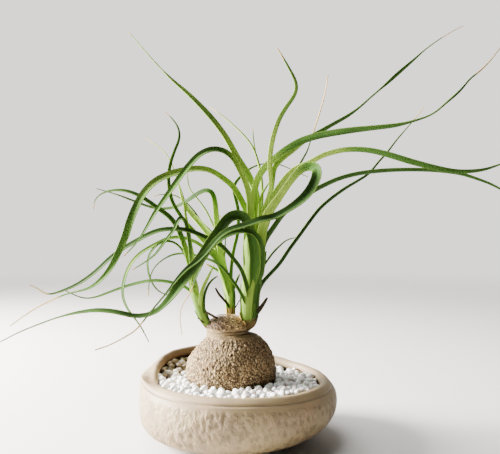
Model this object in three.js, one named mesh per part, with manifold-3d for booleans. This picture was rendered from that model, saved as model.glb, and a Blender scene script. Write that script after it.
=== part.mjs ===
// A potted ponytail palm: a swollen woody trunk with three leafy shoots, standing in soil under white
// pebbles in a round stoneware bowl whose rim sweeps up and folds over itself on the left.
// Millimetres, +Z up. The origin is the centre of the bowl's flat foot. +X is to the right as seen
// from the front, and +Y points away from the viewer.
import * as THREE from "three";
import { mergeVertices } from "three/addons/utils/BufferGeometryUtils.js";
import Module from "manifold-3d";

const wasm = await Module();
wasm.setup();

// Driving sizes
const bowlRadius = 97.5;
const footRadius = 50;
const frontRimHeight = 59;
const outerRidgeRadius = 90;
const lipRadius = 84.5;
const openingRadius = 79.5;
const floorThickness = 8.5;
const aboveRim = 90;
const soilTop = 45;
const gravelBedTop = 53.5;
const bedSides = 20;
const clearance = 0.3;
const plantClearance = 0.4;
const trunkCentre = [-7.5, 0];
const trunkRadius = 44.8;
const barkRelief = 0.8;
const pebbleSpacing = 11.4;
const pebbleRowStep = 0.87;
const pebbleJitter = 0.35;
const pebbleRoom = 0.4;
const stemSides = 11;
const stemEndRise = 1;
const bladeThickness = 1.2;
const threadThickness = 0.9;
const bladeFold = 0.3;
const bladeTaperPower = 5;
const rootShare = 0.07;
const rootNarrowing = 0.6;
const sheathFlare = 0.45;
const sheathShare = 0.14;
const bladeStride = 33;
const bladeBend = 21;
const threadWidth = 1.5;
const crownDepth = 1.3;

// How close two corners are when they count as one, and the shortest edge that is kept
const cornerReach = 1e-4;
const shortestEdge = 0.01;

// Where the front viewer's eye is. Leaf points are written as seen from there: how far across and how
// far up they appear in the plane through the bowl's axis, and then how far behind that plane they lie.
const eye = new THREE.Vector3(11, -639, 208);

const degrees = Math.PI / 180;
const group = new THREE.Group();

// A steady random number from 0 to 1 for each whole number
const chance = (n) => {
  const s = Math.sin(n * 127.1 + 311.7) * 43758.5453;
  return s - Math.floor(s);
};

const smooth = (t) => {
  const c = THREE.MathUtils.clamp(t, 0, 1);
  return c * c * (3 - 2 * c);
};

// Solids and meshes
function toSolid(geometry) {
  const bare = new THREE.BufferGeometry();
  const plain = geometry.index ? geometry.toNonIndexed() : geometry;
  bare.setAttribute("position", plain.getAttribute("position"));
  const merged = mergeVertices(bare, cornerReach);
  const mesh = new wasm.Mesh({
    numProp: 3,
    vertProperties: new Float32Array(merged.attributes.position.array),
    triVerts: new Uint32Array(merged.index.array),
  });
  return new wasm.Manifold(mesh);
}

function geometryFrom(points, faces) {
  const geometry = new THREE.BufferGeometry();
  geometry.setAttribute("position", new THREE.Float32BufferAttribute(points.flat(), 3));
  geometry.setIndex(faces.flat());
  return geometry;
}

function toGeometry(solid) {
  const mesh = solid.getMesh();
  const geometry = new THREE.BufferGeometry();
  geometry.setAttribute("position", new THREE.BufferAttribute(new Float32Array(mesh.vertProperties), 3));
  geometry.setIndex(new THREE.BufferAttribute(new Uint32Array(mesh.triVerts), 1));
  geometry.computeVertexNormals();
  return geometry;
}

function largestBody(solid) {
  return solid.decompose().sort((a, b) => b.volume() - a.volume())[0];
}

function addMesh(name, solid, colour, roughness) {
  const material = new THREE.MeshStandardMaterial({ color: colour, roughness, metalness: 0 });
  const mesh = new THREE.Mesh(toGeometry(largestBody(solid.simplify(shortestEdge))), material);
  mesh.name = name;
  group.add(mesh);
}

// A closed solid swept round the Z axis. profileAt gives [radius, height] pairs for an angle in degrees,
// from a point on the axis round to another one. Each four-sided patch is split along its first or its
// other diagonal, so that a solid and its lining can be split alike.
function spin(profileAt, angles, otherDiagonal = false) {
  const rows = profileAt(angles[0]).length;
  const points = [[0, 0, profileAt(angles[0])[0][1]], [0, 0, profileAt(angles[0])[rows - 1][1]]];
  const inner = rows - 2;
  for (const angle of angles) {
    for (const [r, z] of profileAt(angle).slice(1, -1)) {
      points.push([r * Math.cos(angle * degrees), r * Math.sin(angle * degrees), z]);
    }
  }
  const at = (j, k) => 2 + (j % angles.length) * inner + k;
  const faces = [];
  for (let j = 0; j < angles.length; j++) {
    faces.push([0, at(j + 1, 0), at(j, 0)]);
    for (let k = 0; k < inner - 1; k++) {
      const [a, b, c, d] = [at(j, k), at(j + 1, k), at(j, k + 1), at(j + 1, k + 1)];
      faces.push(...(otherDiagonal ? [[a, b, c], [b, d, c]] : [[a, b, d], [a, d, c]]));
    }
    faces.push([1, at(j, inner - 1), at(j + 1, inner - 1)]);
  }
  return toSolid(geometryFrom(points, faces));
}

// The bowl's rim
// For each direction, in degrees from the right and round through the back: the inner ridge's radius and
// height, the outer ridge's radius and height, and how deep the crease between them is.
const rimStations = [
  [0, 84.5, 57, 90, 54.5, -1],
  [22, 84.5, 58.8, 90, 56.3, -1],
  [45, 84.5, 60.4, 90, 57.9, -1],
  [65, 84.5, 64.2, 90, 61.7, -1],
  [95, 84.5, 70.5, 90, 67.8, -1],
  [122, 84.5, 77.2, 90, 74.2, -1],
  [145, 84.5, 76.5, 90.5, 72.7, -1],
  [158, 84.5, 74.6, 92.5, 68.5, -0.8],
  [168, 84.5, 71.5, 95, 63.5, -0.4],
  [176, 84.5, 69, 96.8, 61.8, 0.6],
  [183, 84.5, 65.5, 97.5, 61.5, 2],
  [189, 84.2, 60.5, 96, 61, 2.4],
  [195, 83.5, 57.8, 93.8, 60, 1.2],
  [203, 84, 58.2, 91.5, 58.6, -0.2],
  [215, 84.5, 59.2, 90, 57.6, -1],
  [240, 84.5, 59.8, 90, 57.5, -1],
  [270, 84.5, 59.6, 90, 57.3, -1],
  [315, 84.5, 58.3, 90, 56, -1],
  [360, 84.5, 57, 90, 54.5, -1],
];

// The belly, from the foot up, where it is leanest, at the back right, and where it is fullest, at the
// front left: radius and height
const leanBelly = [[54, 4], [67, 7], [80, 12.5], [90, 21], [96, 30], [97.5, 38], [96.3, 46]];
const fullBelly = [[57, 3], [75, 4.5], [88.5, 9], [95.8, 16], [98.2, 25], [98, 35], [97, 45]];
const fullestDirection = 200;

function rimAt(angle) {
  const a = ((angle % 360) + 360) % 360;
  const next = rimStations.findIndex((s) => s[0] > a);
  const [from, to] = [rimStations[next - 1], rimStations[next]];
  const share = smooth((a - from[0]) / (to[0] - from[0]));
  return from.map((value, i) => value + (to[i] - value) * share);
}

function bowlProfile(angle) {
  const [, innerR, innerZ, outerR, outerZ, crease] = rimAt(angle);
  const lift = innerZ - frontRimHeight;
  const flare = outerR - outerRidgeRadius;
  const fullness = 0.5 + 0.5 * Math.cos((angle - fullestDirection) * degrees);
  const belly = leanBelly.map(([r, z], i) => [
    r + (fullBelly[i][0] - r) * fullness,
    z + (fullBelly[i][1] - z) * fullness,
  ]);
  return [
    [0, 0],
    [footRadius, 0],
    [footRadius + 2.5, 1.2],
    ...belly,
    [94.5 + flare * 0.6, outerZ - 5],
    [outerR, outerZ],
    [(innerR + outerR) / 2, (innerZ + outerZ) / 2 - crease],
    [innerR, innerZ],
    [lipRadius - 3, innerZ - 0.8],
    [openingRadius, innerZ - 5],
    [openingRadius + 1.5, innerZ - 8.2],
    [87.5, 46 + lift * 0.55],
    [90, 37],
    [87.5, 27],
    [77, 17.5],
    [63, 11],
    [46, floorThickness + 0.5],
    [0, floorThickness],
  ];
}

// The room inside the bowl, just clear of its wall, with a plain top well above the rim
function hollowProfile(angle) {
  const firstInnerRow = 15;
  const widestHeight = 30;
  const wall = bowlProfile(angle).slice(firstInnerRow, -1).reverse();
  const inset = wall.map(([r, z]) => [
    r - clearance * 1.3,
    z + (z < widestHeight ? clearance : -clearance),
  ]);
  return [[0, floorThickness + clearance], ...inset, [openingRadius - 1, aboveRim], [0, aboveRim]];
}

const rimAngles = [];
for (let a = 0; a < 160; a += 9) rimAngles.push(a);
for (let a = 161; a < 208; a += 3.5) rimAngles.push(a);
for (let a = 213; a < 360; a += 9.2) rimAngles.push(a);

// The trunk
// Height, radius and sideways shift of each level of the swollen base, its shoulder, its narrow neck
// and the old cut top that the shoots grew from
const trunkLevels = [
  [25, 0, 0],
  [26, 13, 0],
  [31, 26.5, 0],
  [40, 36.5, 0],
  [50, 42.3, 0],
  [57, 44.1, 0],
  [63, 44.9, 0],
  [69, 44.9, 0],
  [75, 43.8, 0],
  [80, 41.9, 0.3],
  [85, 39, 0.9],
  [89.5, 35.6, 1.5],
  [93.5, 32, 2],
  [97, 28, 2.4],
  [100, 25.6, 0.6],
  [102, 23, -2],
  [104, 21.2, -4],
  [106.3, 20.2, -4.4],
  [108.7, 21.3, -4.4],
  [111.5, 20.4, -4.4],
  [114.6, 17.6, -4.4],
  [117.6, 12.5, -4.2],
  [119.6, 0, -4],
];
const barkLine = 55;
const trunkSides = 50;

// Cracked bark: uneven upright ridges that wander and fork, fading out under the soil and at the neck
function barkHeight(angle, z) {
  const t = angle * degrees;
  const wander = Math.sin(z * 0.21 + 3 * Math.sin(t * 3)) * 0.9;
  const ridges = Math.sin(t * 23 + wander * 2) * 0.65 + Math.sin(z * 0.74 + t * 17 + wander) * 0.35;
  const strength = smooth((z - barkLine) / 8) * (1 - smooth((z - 96) / 5) * 0.65);
  return barkRelief * ridges * strength;
}

function trunkSolid(growth, withBark) {
  const points = [];
  const last = trunkLevels.length - 1;
  trunkLevels.forEach(([z, r, shift], level) => {
    const height = z + (level === 0 ? -growth : level === last ? growth : 0);
    if (r === 0) {
      points.push([trunkCentre[0] + shift, trunkCentre[1], height]);
      return;
    }
    for (let i = 0; i < trunkSides; i++) {
      const angle = ((i + (level % 2) * 0.5) * 360) / trunkSides;
      const radius = r + growth + (withBark ? barkHeight(angle, z) : 0);
      const [c, s] = [Math.cos(angle * degrees), Math.sin(angle * degrees)];
      points.push([trunkCentre[0] + shift + radius * c, trunkCentre[1] + radius * s, height]);
    }
  });
  const faces = [];
  const at = (level, i) => 1 + (level - 1) * trunkSides + (i % trunkSides);
  for (let i = 0; i < trunkSides; i++) {
    faces.push([0, at(1, i + 1), at(1, i)]);
    for (let level = 1; level < last - 1; level++) {
      const step = level % 2 ? 0 : 1;
      const [a, b, c, d] = [at(level, i), at(level, i + 1), at(level + 1, i), at(level + 1, i + 1)];
      faces.push(...(step ? [[a, b, c], [b, d, c]] : [[a, b, d], [a, d, c]]));
    }
    faces.push([points.length - 1, at(last - 1, i), at(last - 1, i + 1)]);
  }
  return toSolid(geometryFrom(points, faces));
}

// The shoots
// Stems, as points seen from the front with a radius: across, up, behind, radius
const stems = {
  large: [
    [2.5, 105.5, 0.5, 2.6], [6.2, 109.5, 0, 5.2], [9, 114, -1, 7.2], [10, 120, -3, 8],
    [11, 138, -5, 8.2], [13, 155, -4, 8.4], [14.5, 172, -3, 9.6], [15, 190, -3, 10.4],
    [16, 203, -2, 9], [18, 213, -2, 4.5],
  ],
  middle: [
    [-9.4, 106, 9.5, 2.4], [-9, 112, 11, 4], [-8.8, 121, 12, 4.2], [-8.8, 130, 12, 4.2],
    [-9, 140, 12, 4.4], [-11, 150, 12, 4.8], [-14.5, 160, 12, 4.8], [-19, 170, 12, 3.2],
    [-22, 177, 12, 1.6],
  ],
  left: [
    [-26.5, 103.5, -1, 1.8], [-28.8, 107.5, -1.5, 2.8], [-32.2, 112, -3, 3.4], [-36.4, 120, -6, 3.7],
    [-41, 133, -10, 3.8], [-45, 146, -10, 3.8], [-47.5, 160, -10, 3.4], [-49, 170, -9, 2.2],
  ],
};

// Leaves. Each has its name, its full width, the share of its length where the green blade has narrowed
// to a thread, how far its face is turned from the viewer at even steps along it, in degrees, and its
// midrib's points: across, up, behind.
const leaves = {
  large: [
    ["long upper left", 8, 0.8, [30, 35, 40, 40, 40], [[14, 168, 0], [16.5, 200, 5], [18, 221, 7],
      [17, 238, 10], [13, 251, 13], [7, 263, 16], [-1, 275, 20], [-14, 298, 27], [-29, 318, 34],
      [-49, 339, 42], [-69, 357, 50], [-89, 378, 58], [-110, 403, 66]]],
    ["high arch left", 7.5, 0.92, [40, 40, 45, 50, 40, 40, 50], [[11, 168, -4], [10, 198, -9],
      [10, 228, -11], [8, 245, -14], [4, 257, -18], [-1, 267, -22], [-7, 277, -26], [-16, 283.5, -32],
      [-27, 285, -38], [-39, 280, -44], [-49, 270, -49], [-59, 257, -54], [-69, 243, -58],
      [-84, 222, -63], [-92, 208, -65], [-99, 197, -67], [-106, 188, -68], [-115, 179, -69]]],
    ["low arch left", 8.5, 0.82, [30, 45, 55, 40, 10, 60, 70], [[9, 150, -3], [6, 185, -3],
      [7.5, 212, -4], [7, 223, -5], [4, 229, -7], [-1, 239, -9], [-7, 248, -12], [-14, 254, -15],
      [-29, 263.5, -20], [-42, 265.5, -24], [-54, 264, -28], [-69, 260, -34], [-82, 254, -40],
      [-92, 245, -46], [-99, 235, -51], [-104, 225, -55], [-109, 213, -58], [-113, 200, -60],
      [-118, 188, -61], [-123, 177, -62], [-131, 163, -62], [-147, 148, -62], [-175, 140, -60],
      [-191, 133, -58], [-206, 125, -56], [-229, 109, -54]]],
    ["far left sweep", 5.5, 0.92, [50, 50, 45, 45, 45, 40, 50], [[10, 134, -8], [6, 150, -13],
      [4, 158, -15], [1, 166, -17], [-3, 172, -19], [-8, 178, -21], [-13, 184, -23], [-18, 189, -25],
      [-29, 195, -28], [-41, 200.5, -31], [-52, 204.5, -33], [-64, 205.5, -34], [-79, 204.5, -34],
      [-91, 200, -34], [-101, 194.5, -33], [-111, 189, -32], [-127, 178, -31], [-144, 162.5, -29],
      [-159, 152, -28], [-174, 145, -27], [-192, 140.5, -26], [-201, 146, -24], [-209, 150, -23]]],
    ["low loop left", 4, 0.75, [40, 50, 55, 60, 60], [[8, 128, -7], [2, 140, -12], [-1, 146, -13],
      [-6, 153, -14], [-10, 159, -15], [-14, 164, -15], [-19, 169, -13], [-25, 173, -10], [-30, 175, -7],
      [-39, 178, -1], [-49, 180.5, 4], [-61, 181, 8], [-69, 179, 5], [-79, 173, 0], [-86, 165, -6],
      [-89.5, 155, -9], [-90.5, 139, -10]]],
    ["knee front left", 10, 0.8, [20, 20, 10, 15, 65, 55, 60, 60], [[13, 148, -9], [15, 173, -14],
      [13, 192, -16], [10, 206, -19], [6, 216.5, -23], [1, 219.5, -27], [-5, 219.5, -31],
      [-10, 217, -34], [-15, 211.5, -37], [-19, 205, -40], [-24, 198, -43], [-29, 190.5, -46],
      [-33, 184, -48], [-39, 175, -52], [-47, 165, -57], [-55, 155, -62], [-62, 145, -66],
      [-69, 135, -69], [-79, 124.5, -73], [-87, 120, -76], [-95, 118, -78], [-104, 117.5, -79],
      [-119, 121, -80], [-129, 123, -79], [-142, 124, -78], [-154, 123, -76], [-169, 120.5, -74],
      [-184, 116.5, -72], [-199, 111, -70], [-219, 103, -68], [-239, 93, -66], [-252, 87, -64]]],
    ["folded right", 9.5, 0.82, [25, 20, 50, 15, 50, 55, 45, 50, 60], [[17, 158, -5], [20, 190, -8],
      [24, 211, -10], [29, 223, -12], [37, 235, -14], [45, 247, -17], [53, 258, -20], [60, 265.5, -23],
      [66, 269, -26], [72, 269.5, -30], [78, 267, -34], [78, 259, -39], [74, 249, -43], [68, 240, -47],
      [61, 233, -50], [53, 227, -52], [44, 221.5, -54], [33, 216.5, -56], [23, 215, -58],
      [13, 211.5, -59], [4, 208.5, -60], [-7, 205.5, -61], [-14, 202, -62], [-23, 194, -64],
      [-31, 184, -66], [-42, 173, -70], [-51, 167, -73], [-57, 161, -76], [-63, 154, -79],
      [-69, 146, -82], [-79, 134, -86], [-89, 122, -90], [-97, 112, -92], [-104, 104, -93],
      [-114, 98, -94], [-129, 90, -94], [-144, 85, -94]]],
    ["arch over stem", 7, 0.75, [30, 45, 50, 50, 50, 60], [[18, 152, -8], [22, 172, -12],
      [23, 185, -14], [21, 192, -17], [18, 198, -20], [13, 202, -23], [7, 203.5, -26], [1, 203, -29],
      [-7, 201, -32], [-14, 198, -34], [-22, 192, -36], [-29, 185, -38], [-34, 178, -40],
      [-37, 170, -42], [-41, 162, -44], [-44, 155, -45], [-46, 148, -46], [-51, 138, -47],
      [-55, 133, -47], [-58, 126, -47], [-59, 117, -47], [-58, 107, -46], [-57, 100, -45]]],
    ["long right", 7.5, 0.87, [40, 45, 30, 25, 30, 50, 85, 35, 50], [[16, 168, -3], [16.5, 200, 0],
      [15.5, 221, 1], [16, 244, 2], [21, 260, 1], [29, 270, -2], [36, 276, -5], [46, 284, -9],
      [61, 293, -14], [76, 298, -19], [91, 301, -24], [111, 304, -30], [141, 307, -37],
      [161, 309.5, -40], [176, 313.5, -42], [191, 319, -43], [199, 324, -44], [208, 332, -44],
      [216, 339, -44], [223, 346, -43], [231, 356, -42], [241, 364, -41], [251, 374, -40],
      [261, 387, -39]]],
    ["high right", 6.5, 0.86, [45, 40, 38, 40, 55, 85, 30, 60, 60], [[17, 170, 1], [22, 200, 7], [27, 224, 9],
      [32, 240, 11], [34, 255, 13], [36, 267, 15], [40, 272.5, 16], [46, 278, 17], [54, 284, 20],
      [66, 294, 23], [81, 302.5, 27], [96, 311, 31], [111, 319.5, 36], [121, 327, 39], [133, 338, 43],
      [146, 349, 47], [161, 363, 52], [176, 376, 57], [186, 385, 60], [201, 396, 64], [216, 405, 68],
      [224, 409, 70]]],
    ["wavy right", 7, 0.92, [40, 45, 50, 45, 20, 25, 60], [[18, 168, -3], [24, 200, -2],
      [26, 220, -1], [33, 235, 1], [42, 250, 2], [53, 263, 1], [61, 268, -1], [70, 271, -4],
      [76, 274.5, -6], [86, 279.5, -9], [96, 282.5, -12], [106, 284.5, -15], [126, 284.5, -19],
      [141, 282, -22], [156, 278, -25], [171, 273.5, -27], [186, 269.5, -29], [201, 266, -30],
      [216, 263.5, -30], [231, 263.5, -30], [246, 265.5, -29], [261, 270.5, -28], [288, 281, -26]]],
    ["level right", 6.5, 0.95, [45, 40, 45, 50, 50, 45, 45], [[17, 146, -2], [22.5, 165, 2],
      [24, 183, 4], [26, 192, 5], [30, 200, 6], [35, 207, 8], [41, 216, 9], [51, 227, 11],
      [61, 235, 13], [72, 242, 15], [86, 249.5, 17], [101, 256, 19], [116, 260, 20], [136, 263, 22],
      [161, 264.5, 23], [186, 264.5, 24], [206, 263, 24], [223, 260.5, 24], [236, 256.5, 24],
      [251, 251, 24], [261, 246, 24], [289, 231, 24]]],
    ["straight low right", 5, 0.9, [45, 45, 45, 60, 60], [[14, 122, -3], [21, 145, 6],
      [25, 153, 10], [31, 160, 15], [41, 171, 22], [51, 186, 30], [57, 194, 35], [65, 205, 41],
      [73, 216, 47], [81, 226, 52], [91, 235, 57], [106, 246, 64], [121, 255, 70], [130, 261, 74],
      [141, 274, 79], [149, 283, 83], [158, 295, 88], [169, 308, 93], [179, 320, 97],
      [185, 328, 100]]],
    ["short low right", 3, 0.9, [40, 50, 60], [[15, 136, -1], [20, 152, 9], [23, 163, 15],
      [25, 169, 18], [29, 175, 23], [35, 183, 30], [41, 189, 37], [46, 193.5, 43], [51, 196, 48],
      [58, 197.5, 54]]],
    ["dry tipped right", 3.6, 0.6, [40, 45, 60, 60], [[17, 178, 2], [23, 205, 14], [31, 230, 21],
      [44, 248, 27], [54, 263, 36], [60, 270, 42], [64, 277, 47], [68, 284, 52], [71, 293, 58],
      [74, 302, 63], [80, 320, 72], [85, 337, 80], [89, 360, 90]]],
    ["upright", 5.5, 0.95, [30, 35, 35, 40, 50], [[17, 180, -4], [21, 208, -6], [25, 223, -8],
      [28, 232, -10], [31, 240, -12], [33, 250, -15], [32, 260, -18], [31.5, 275, -23],
      [33, 290, -28], [36, 302, -32], [40, 314, -36], [46, 325, -40], [53, 335, -44],
      [57.5, 343, -47], [57.7, 352, -50], [51, 366, -54], [44, 378, -58], [38, 387, -61]]],
    ["short light", 3.4, 0.95, [40, 50], [[18, 190, -2], [20.5, 215, -2], [21, 230, 1], [23, 240, 4],
      [27, 247, 8], [31, 254, 10]]],
    ["thin upper back", 3, 0.9, [40, 50, 60], [[14, 183, 2], [19, 210, 12], [23, 233, 23],
      [23, 247, 31], [22, 260, 40], [19, 273, 50], [14, 287, 61], [6, 298, 71], [-4, 308, 81],
      [-14, 317, 90], [-29, 328, 101]]],
    ["thread upper back", 2, 0.9, [50, 50, 60], [[12, 186, 1], [17, 212, 15], [22, 240, 29],
      [21, 260, 42], [18, 275, 54], [15, 290, 66], [13.5, 307, 80]]],
    ["back arch", 6.5, 0.95, [20, 20, 20, 20], [[13, 184, 3], [13, 215, 17], [13, 233, 30],
      [13, 245, 52], [12.5, 249, 80], [12.5, 246, 112], [13, 237, 146], [14, 226, 176],
      [15, 212, 200]]],
    ["back right rise", 6, 0.95, [30, 30, 30, 30], [[18, 176, 2], [26, 207, 12], [33, 226, 24],
      [41, 240, 40], [49, 252, 60], [56, 261, 84], [62, 266, 108], [66, 268, 128]]],
    ["low back arch", 5, 0.95, [10, 10, 10], [[12, 156, 0], [11, 180, 18], [11, 192, 40],
      [10, 196, 68], [8, 190, 98], [6, 176, 124], [5, 158, 144]]],
    ["dry stub right", 4.6, 1, [40, 40], [[12, 113, -2], [17, 120, -7], [21, 126.5, -10],
      [25, 132, -12], [28.5, 137.5, -12]]],
    ["dry scale right", 3, 1, [40, 40], [[11, 110, -2], [15.5, 113.5, -7], [19, 119.5, -10]]],
  ],
  middle: [
    ["tall bent back", 5, 0.75, [50, 50, 45, 60, 60], [[-8, 138, 12], [-7, 152, 15], [-7, 165, 18],
      [-6, 177, 21], [-4, 188, 24], [-1, 200, 28], [0, 213, 32], [0, 222, 35], [-1, 229, 38],
      [-3, 237, 41], [-5, 247, 45], [-1, 255, 50], [4, 260, 54], [8, 264, 57], [13, 267, 60],
      [20, 270, 65], [28, 271.5, 69], [35, 271.5, 73], [43, 269.5, 77], [50, 266.5, 80],
      [55, 264.5, 82], [62, 261, 85], [69, 258, 88]]],
    ["folded middle", 6.4, 0.92, [10, 15, 45, 62, 62, 65], [[-13, 152, 12], [-18, 178, 13],
      [-21.5, 205, 12], [-22.5, 212, 11], [-23.5, 222, 10], [-24.5, 232, 9], [-26, 239, 9],
      [-28, 243.5, 9], [-34, 244, 11], [-38, 242.5, 13], [-43, 239.5, 16], [-49, 235.5, 19],
      [-55, 231.5, 22], [-61, 228.5, 25], [-67, 226.5, 28], [-79, 225.5, 32], [-91, 228, 35],
      [-104, 233, 38], [-119, 239, 40], [-131, 243, 42], [-143, 246.5, 43]]],
    ["dark back left", 3, 0.9, [45, 50, 60], [[-12, 150, 13], [-15, 173, 19], [-25, 199, 28],
      [-33, 208, 33], [-38, 212.5, 37], [-42, 219, 41], [-46, 224.5, 45], [-50, 229, 48],
      [-54, 233, 51], [-58, 236, 54], [-62, 238.5, 56], [-67, 240, 58], [-77, 240.5, 61],
      [-85, 239, 63]]],
    ["thin back", 2.6, 0.9, [45, 50, 60], [[-15, 157, 13], [-18, 185, 19], [-24, 205, 27],
      [-27, 212, 31], [-30, 218, 35], [-33, 224, 40], [-37, 230, 45], [-41, 235, 50], [-45, 240, 55],
      [-49, 245, 60], [-51, 252, 66], [-52, 263, 74]]],
    ["broad back left", 6.5, 0.62, [20, 15, 30, 55, 60], [[-12, 148, 10], [-18, 176, 12],
      [-27, 197, 15], [-32, 203, 17], [-37, 209, 20], [-43, 216, 23], [-48, 221, 26], [-52, 226, 29],
      [-55, 230, 31], [-57, 238, 34], [-61, 252, 40], [-66, 267, 47], [-71, 278, 53], [-79, 287, 59],
      [-93, 297, 68]]],
    ["tall hooked left", 5.5, 0.95, [30, 40, 50, 50, 50, 60], [[-10.5, 142, 10], [-18, 167, 7],
      [-24, 180, 6], [-31, 189, 7], [-38, 196, 8], [-44, 202, 9], [-50, 208, 10], [-56, 215, 11],
      [-63, 225, 12], [-68, 235, 14], [-70.5, 248, 17], [-71, 260, 20], [-69, 272, 23],
      [-65, 284, 26], [-60, 297, 29], [-61, 307, 32], [-66, 315, 34], [-74, 323, 37]]],
    ["wide loop left", 4.5, 0.9, [30, 40, 45, 50, 50, 55], [[-10, 140, 9], [-16, 160, 3],
      [-27, 180, -1], [-33, 185, -1], [-37, 188, 0], [-42, 192, 1], [-47, 194, 2], [-52, 196, 2],
      [-59, 197.5, 2], [-67, 197, 1], [-74, 195, -1], [-87, 188.5, -4], [-99, 181, -9],
      [-108, 171, -15], [-113, 160, -20], [-116, 147, -25], [-115, 135, -30], [-109, 123, -35],
      [-99, 110, -40], [-90, 93, -44]]],
    ["short middle", 3.6, 1, [30, 40], [[-10, 138, 10], [-15, 155, 14], [-19, 163, 16],
      [-26, 167, 18], [-33, 171, 20]]],
    ["dry spike left", 2.8, 1, [45, 45], [[-7.5, 124, 11], [-12, 132, 6], [-17, 137, 4],
      [-21, 142, 2], [-23.5, 147, 0]]],
    ["dry spike right", 2.6, 1, [45, 45], [[-7, 120, 12], [-3, 128, 13], [1, 135, 13]]],
    ["short back", 3, 1, [40, 40], [[-8, 136, 12], [-4, 151, 19], [0.5, 161, 22]]],
    ["curled thread", 1.6, 0.9, [50, 50], [[-16, 160, 12], [-14, 188, 20], [-14, 205, 24],
      [-16, 216, 26], [-21, 220, 28]]],
    ["back arch", 4.5, 0.95, [20, 20, 20], [[-12, 146, 14], [-15, 172, 30], [-18, 188, 52],
      [-21, 195, 80], [-24, 192, 110], [-26, 180, 136]]],
  ],
  left: [
    ["upright light", 4.6, 0.8, [20, 30, 50, 60], [[-41, 134, -10], [-45, 152, -9], [-46, 167, -8],
      [-47, 180, -8], [-49, 190, -8], [-51, 205, -8], [-53, 215, -7], [-56, 236, -3], [-58, 245, -1],
      [-60, 251, 1], [-63, 256, 3]]],
    ["drooping tip left", 6, 0.88, [20, 30, 40, 45, 50, 60], [[-42, 137, -11], [-46, 153, -13],
      [-49, 167, -14], [-53, 183, -15], [-57, 195, -16], [-62, 207, -17], [-69, 217, -18],
      [-81, 226, -18], [-92, 234, -18], [-102, 240, -18], [-114, 244, -17], [-126, 244.5, -15],
      [-136, 242, -14], [-142, 238, -13], [-145, 232, -12], [-145.5, 226, -11]]],
    ["folded left", 4.2, 0.9, [20, 30, 40, 50, 60], [[-43, 140, -10], [-46, 156, -15],
      [-48, 170, -19], [-49, 185, -22], [-51, 200, -26], [-54, 213, -31], [-58, 218, -36],
      [-62, 212, -42], [-64, 206, -46], [-68, 201, -49], [-74, 193, -51], [-84, 180, -52],
      [-95, 172, -51], [-107, 165, -49]]],
    ["thin curl left", 2.8, 0.9, [40, 50, 50, 60], [[-42, 138, -9], [-47, 158, -5], [-51, 171, -5],
      [-57, 185, -9], [-66, 193, -13], [-76, 193, -17], [-86, 186, -20], [-91, 176, -21],
      [-91, 167, -21], [-88, 155, -21], [-82, 145.5, -21], [-75, 141, -20], [-68, 139.5, -19]]],
    ["level left", 4, 0.85, [40, 45, 45, 50, 60], [[-37, 123, -7.5], [-44, 138, -10], [-49, 144, -9],
      [-53, 147, -7], [-59, 150, -5], [-63, 151, -4], [-74, 153.5, -2], [-89, 154, 1],
      [-102, 151.5, 4], [-116, 147.5, 6], [-131, 142, 7], [-142, 138, 7], [-151, 136.5, 7],
      [-159, 137.5, 7], [-167, 141, 6], [-175, 145, 5]]],
    ["short light", 4.2, 0.95, [25, 35, 50], [[-36, 119, -6], [-38.5, 131, -13], [-38, 138, -16],
      [-36.5, 145, -18], [-34, 151, -19], [-31, 157, -21], [-28, 163, -22], [-25, 170, -24]]],
    ["short dark", 3.6, 0.95, [40, 45, 50], [[-32.5, 113.5, -3], [-34.5, 124, -9], [-34.8, 137, -11],
      [-32.8, 145, -10], [-30, 151, -9], [-26, 156, -8], [-21, 159, -7]]],
    ["dry scale left", 2.4, 1, [40, 40], [[-31.5, 110.5, -2.5], [-36, 112.5, -7], [-41.5, 117, -10]]],
    ["dry spike left", 2.6, 1, [50, 50], [[-37, 124.5, -7.5], [-32, 122.5, -12], [-26, 119, -14.5],
      [-21, 116.5, -15]]],
    ["low dry scale", 2, 1, [50, 50], [[-32.5, 115, -4], [-28, 114, -13], [-23, 112.5, -17]]],
  ],
};

// The real place of a point that appears across and up, and lies behind the plane of the bowl's axis
function placed([across, up, behind]) {
  const y = behind * crownDepth;
  const scale = (y - eye.y) / -eye.y;
  return new THREE.Vector3(eye.x + (across - eye.x) * scale, y, eye.z + (up - eye.z) * scale);
}

// Stations along a curve, closer together where it bends
function stations(curve, stride, bend) {
  const fine = 240;
  const points = Array.from({ length: fine + 1 }, (_, i) => curve.getPoint(i / fine));
  const tangents = points.map((_, i) => {
    const [a, b] = [points[Math.max(0, i - 1)], points[Math.min(fine, i + 1)]];
    return b.clone().sub(a).normalize();
  });
  const along = [0];
  const cost = [0];
  for (let i = 1; i <= fine; i++) {
    const step = points[i].distanceTo(points[i - 1]);
    along.push(along[i - 1] + step);
    cost.push(cost[i - 1] + step / stride + tangents[i].angleTo(tangents[i - 1]) / bend);
  }
  const count = Math.max(4, Math.round(cost[fine]));
  const chosen = [];
  for (let k = 0, i = 0; k <= count; k++) {
    while (i < fine && cost[i] < (cost[fine] * k) / count) i++;
    chosen.push({ point: points[i], tangent: tangents[i], share: along[i] / along[fine] });
  }
  return chosen;
}

function valueAlong(values, share) {
  const t = THREE.MathUtils.clamp(share, 0, 1) * (values.length - 1);
  const i = Math.min(values.length - 2, Math.floor(t));
  return values[i] + (values[i + 1] - values[i]) * smooth(t - i);
}

function bladeWidth(width, thread, share) {
  const body = share < thread ? 1 - Math.pow(share / thread, bladeTaperPower) : 0;
  const sheath = 1 + sheathFlare * (1 - smooth(share / sheathShare));
  const root = 1 - rootNarrowing * (1 - smooth(share / rootShare));
  return threadWidth + (width - threadWidth) * body * sheath * root;
}

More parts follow.
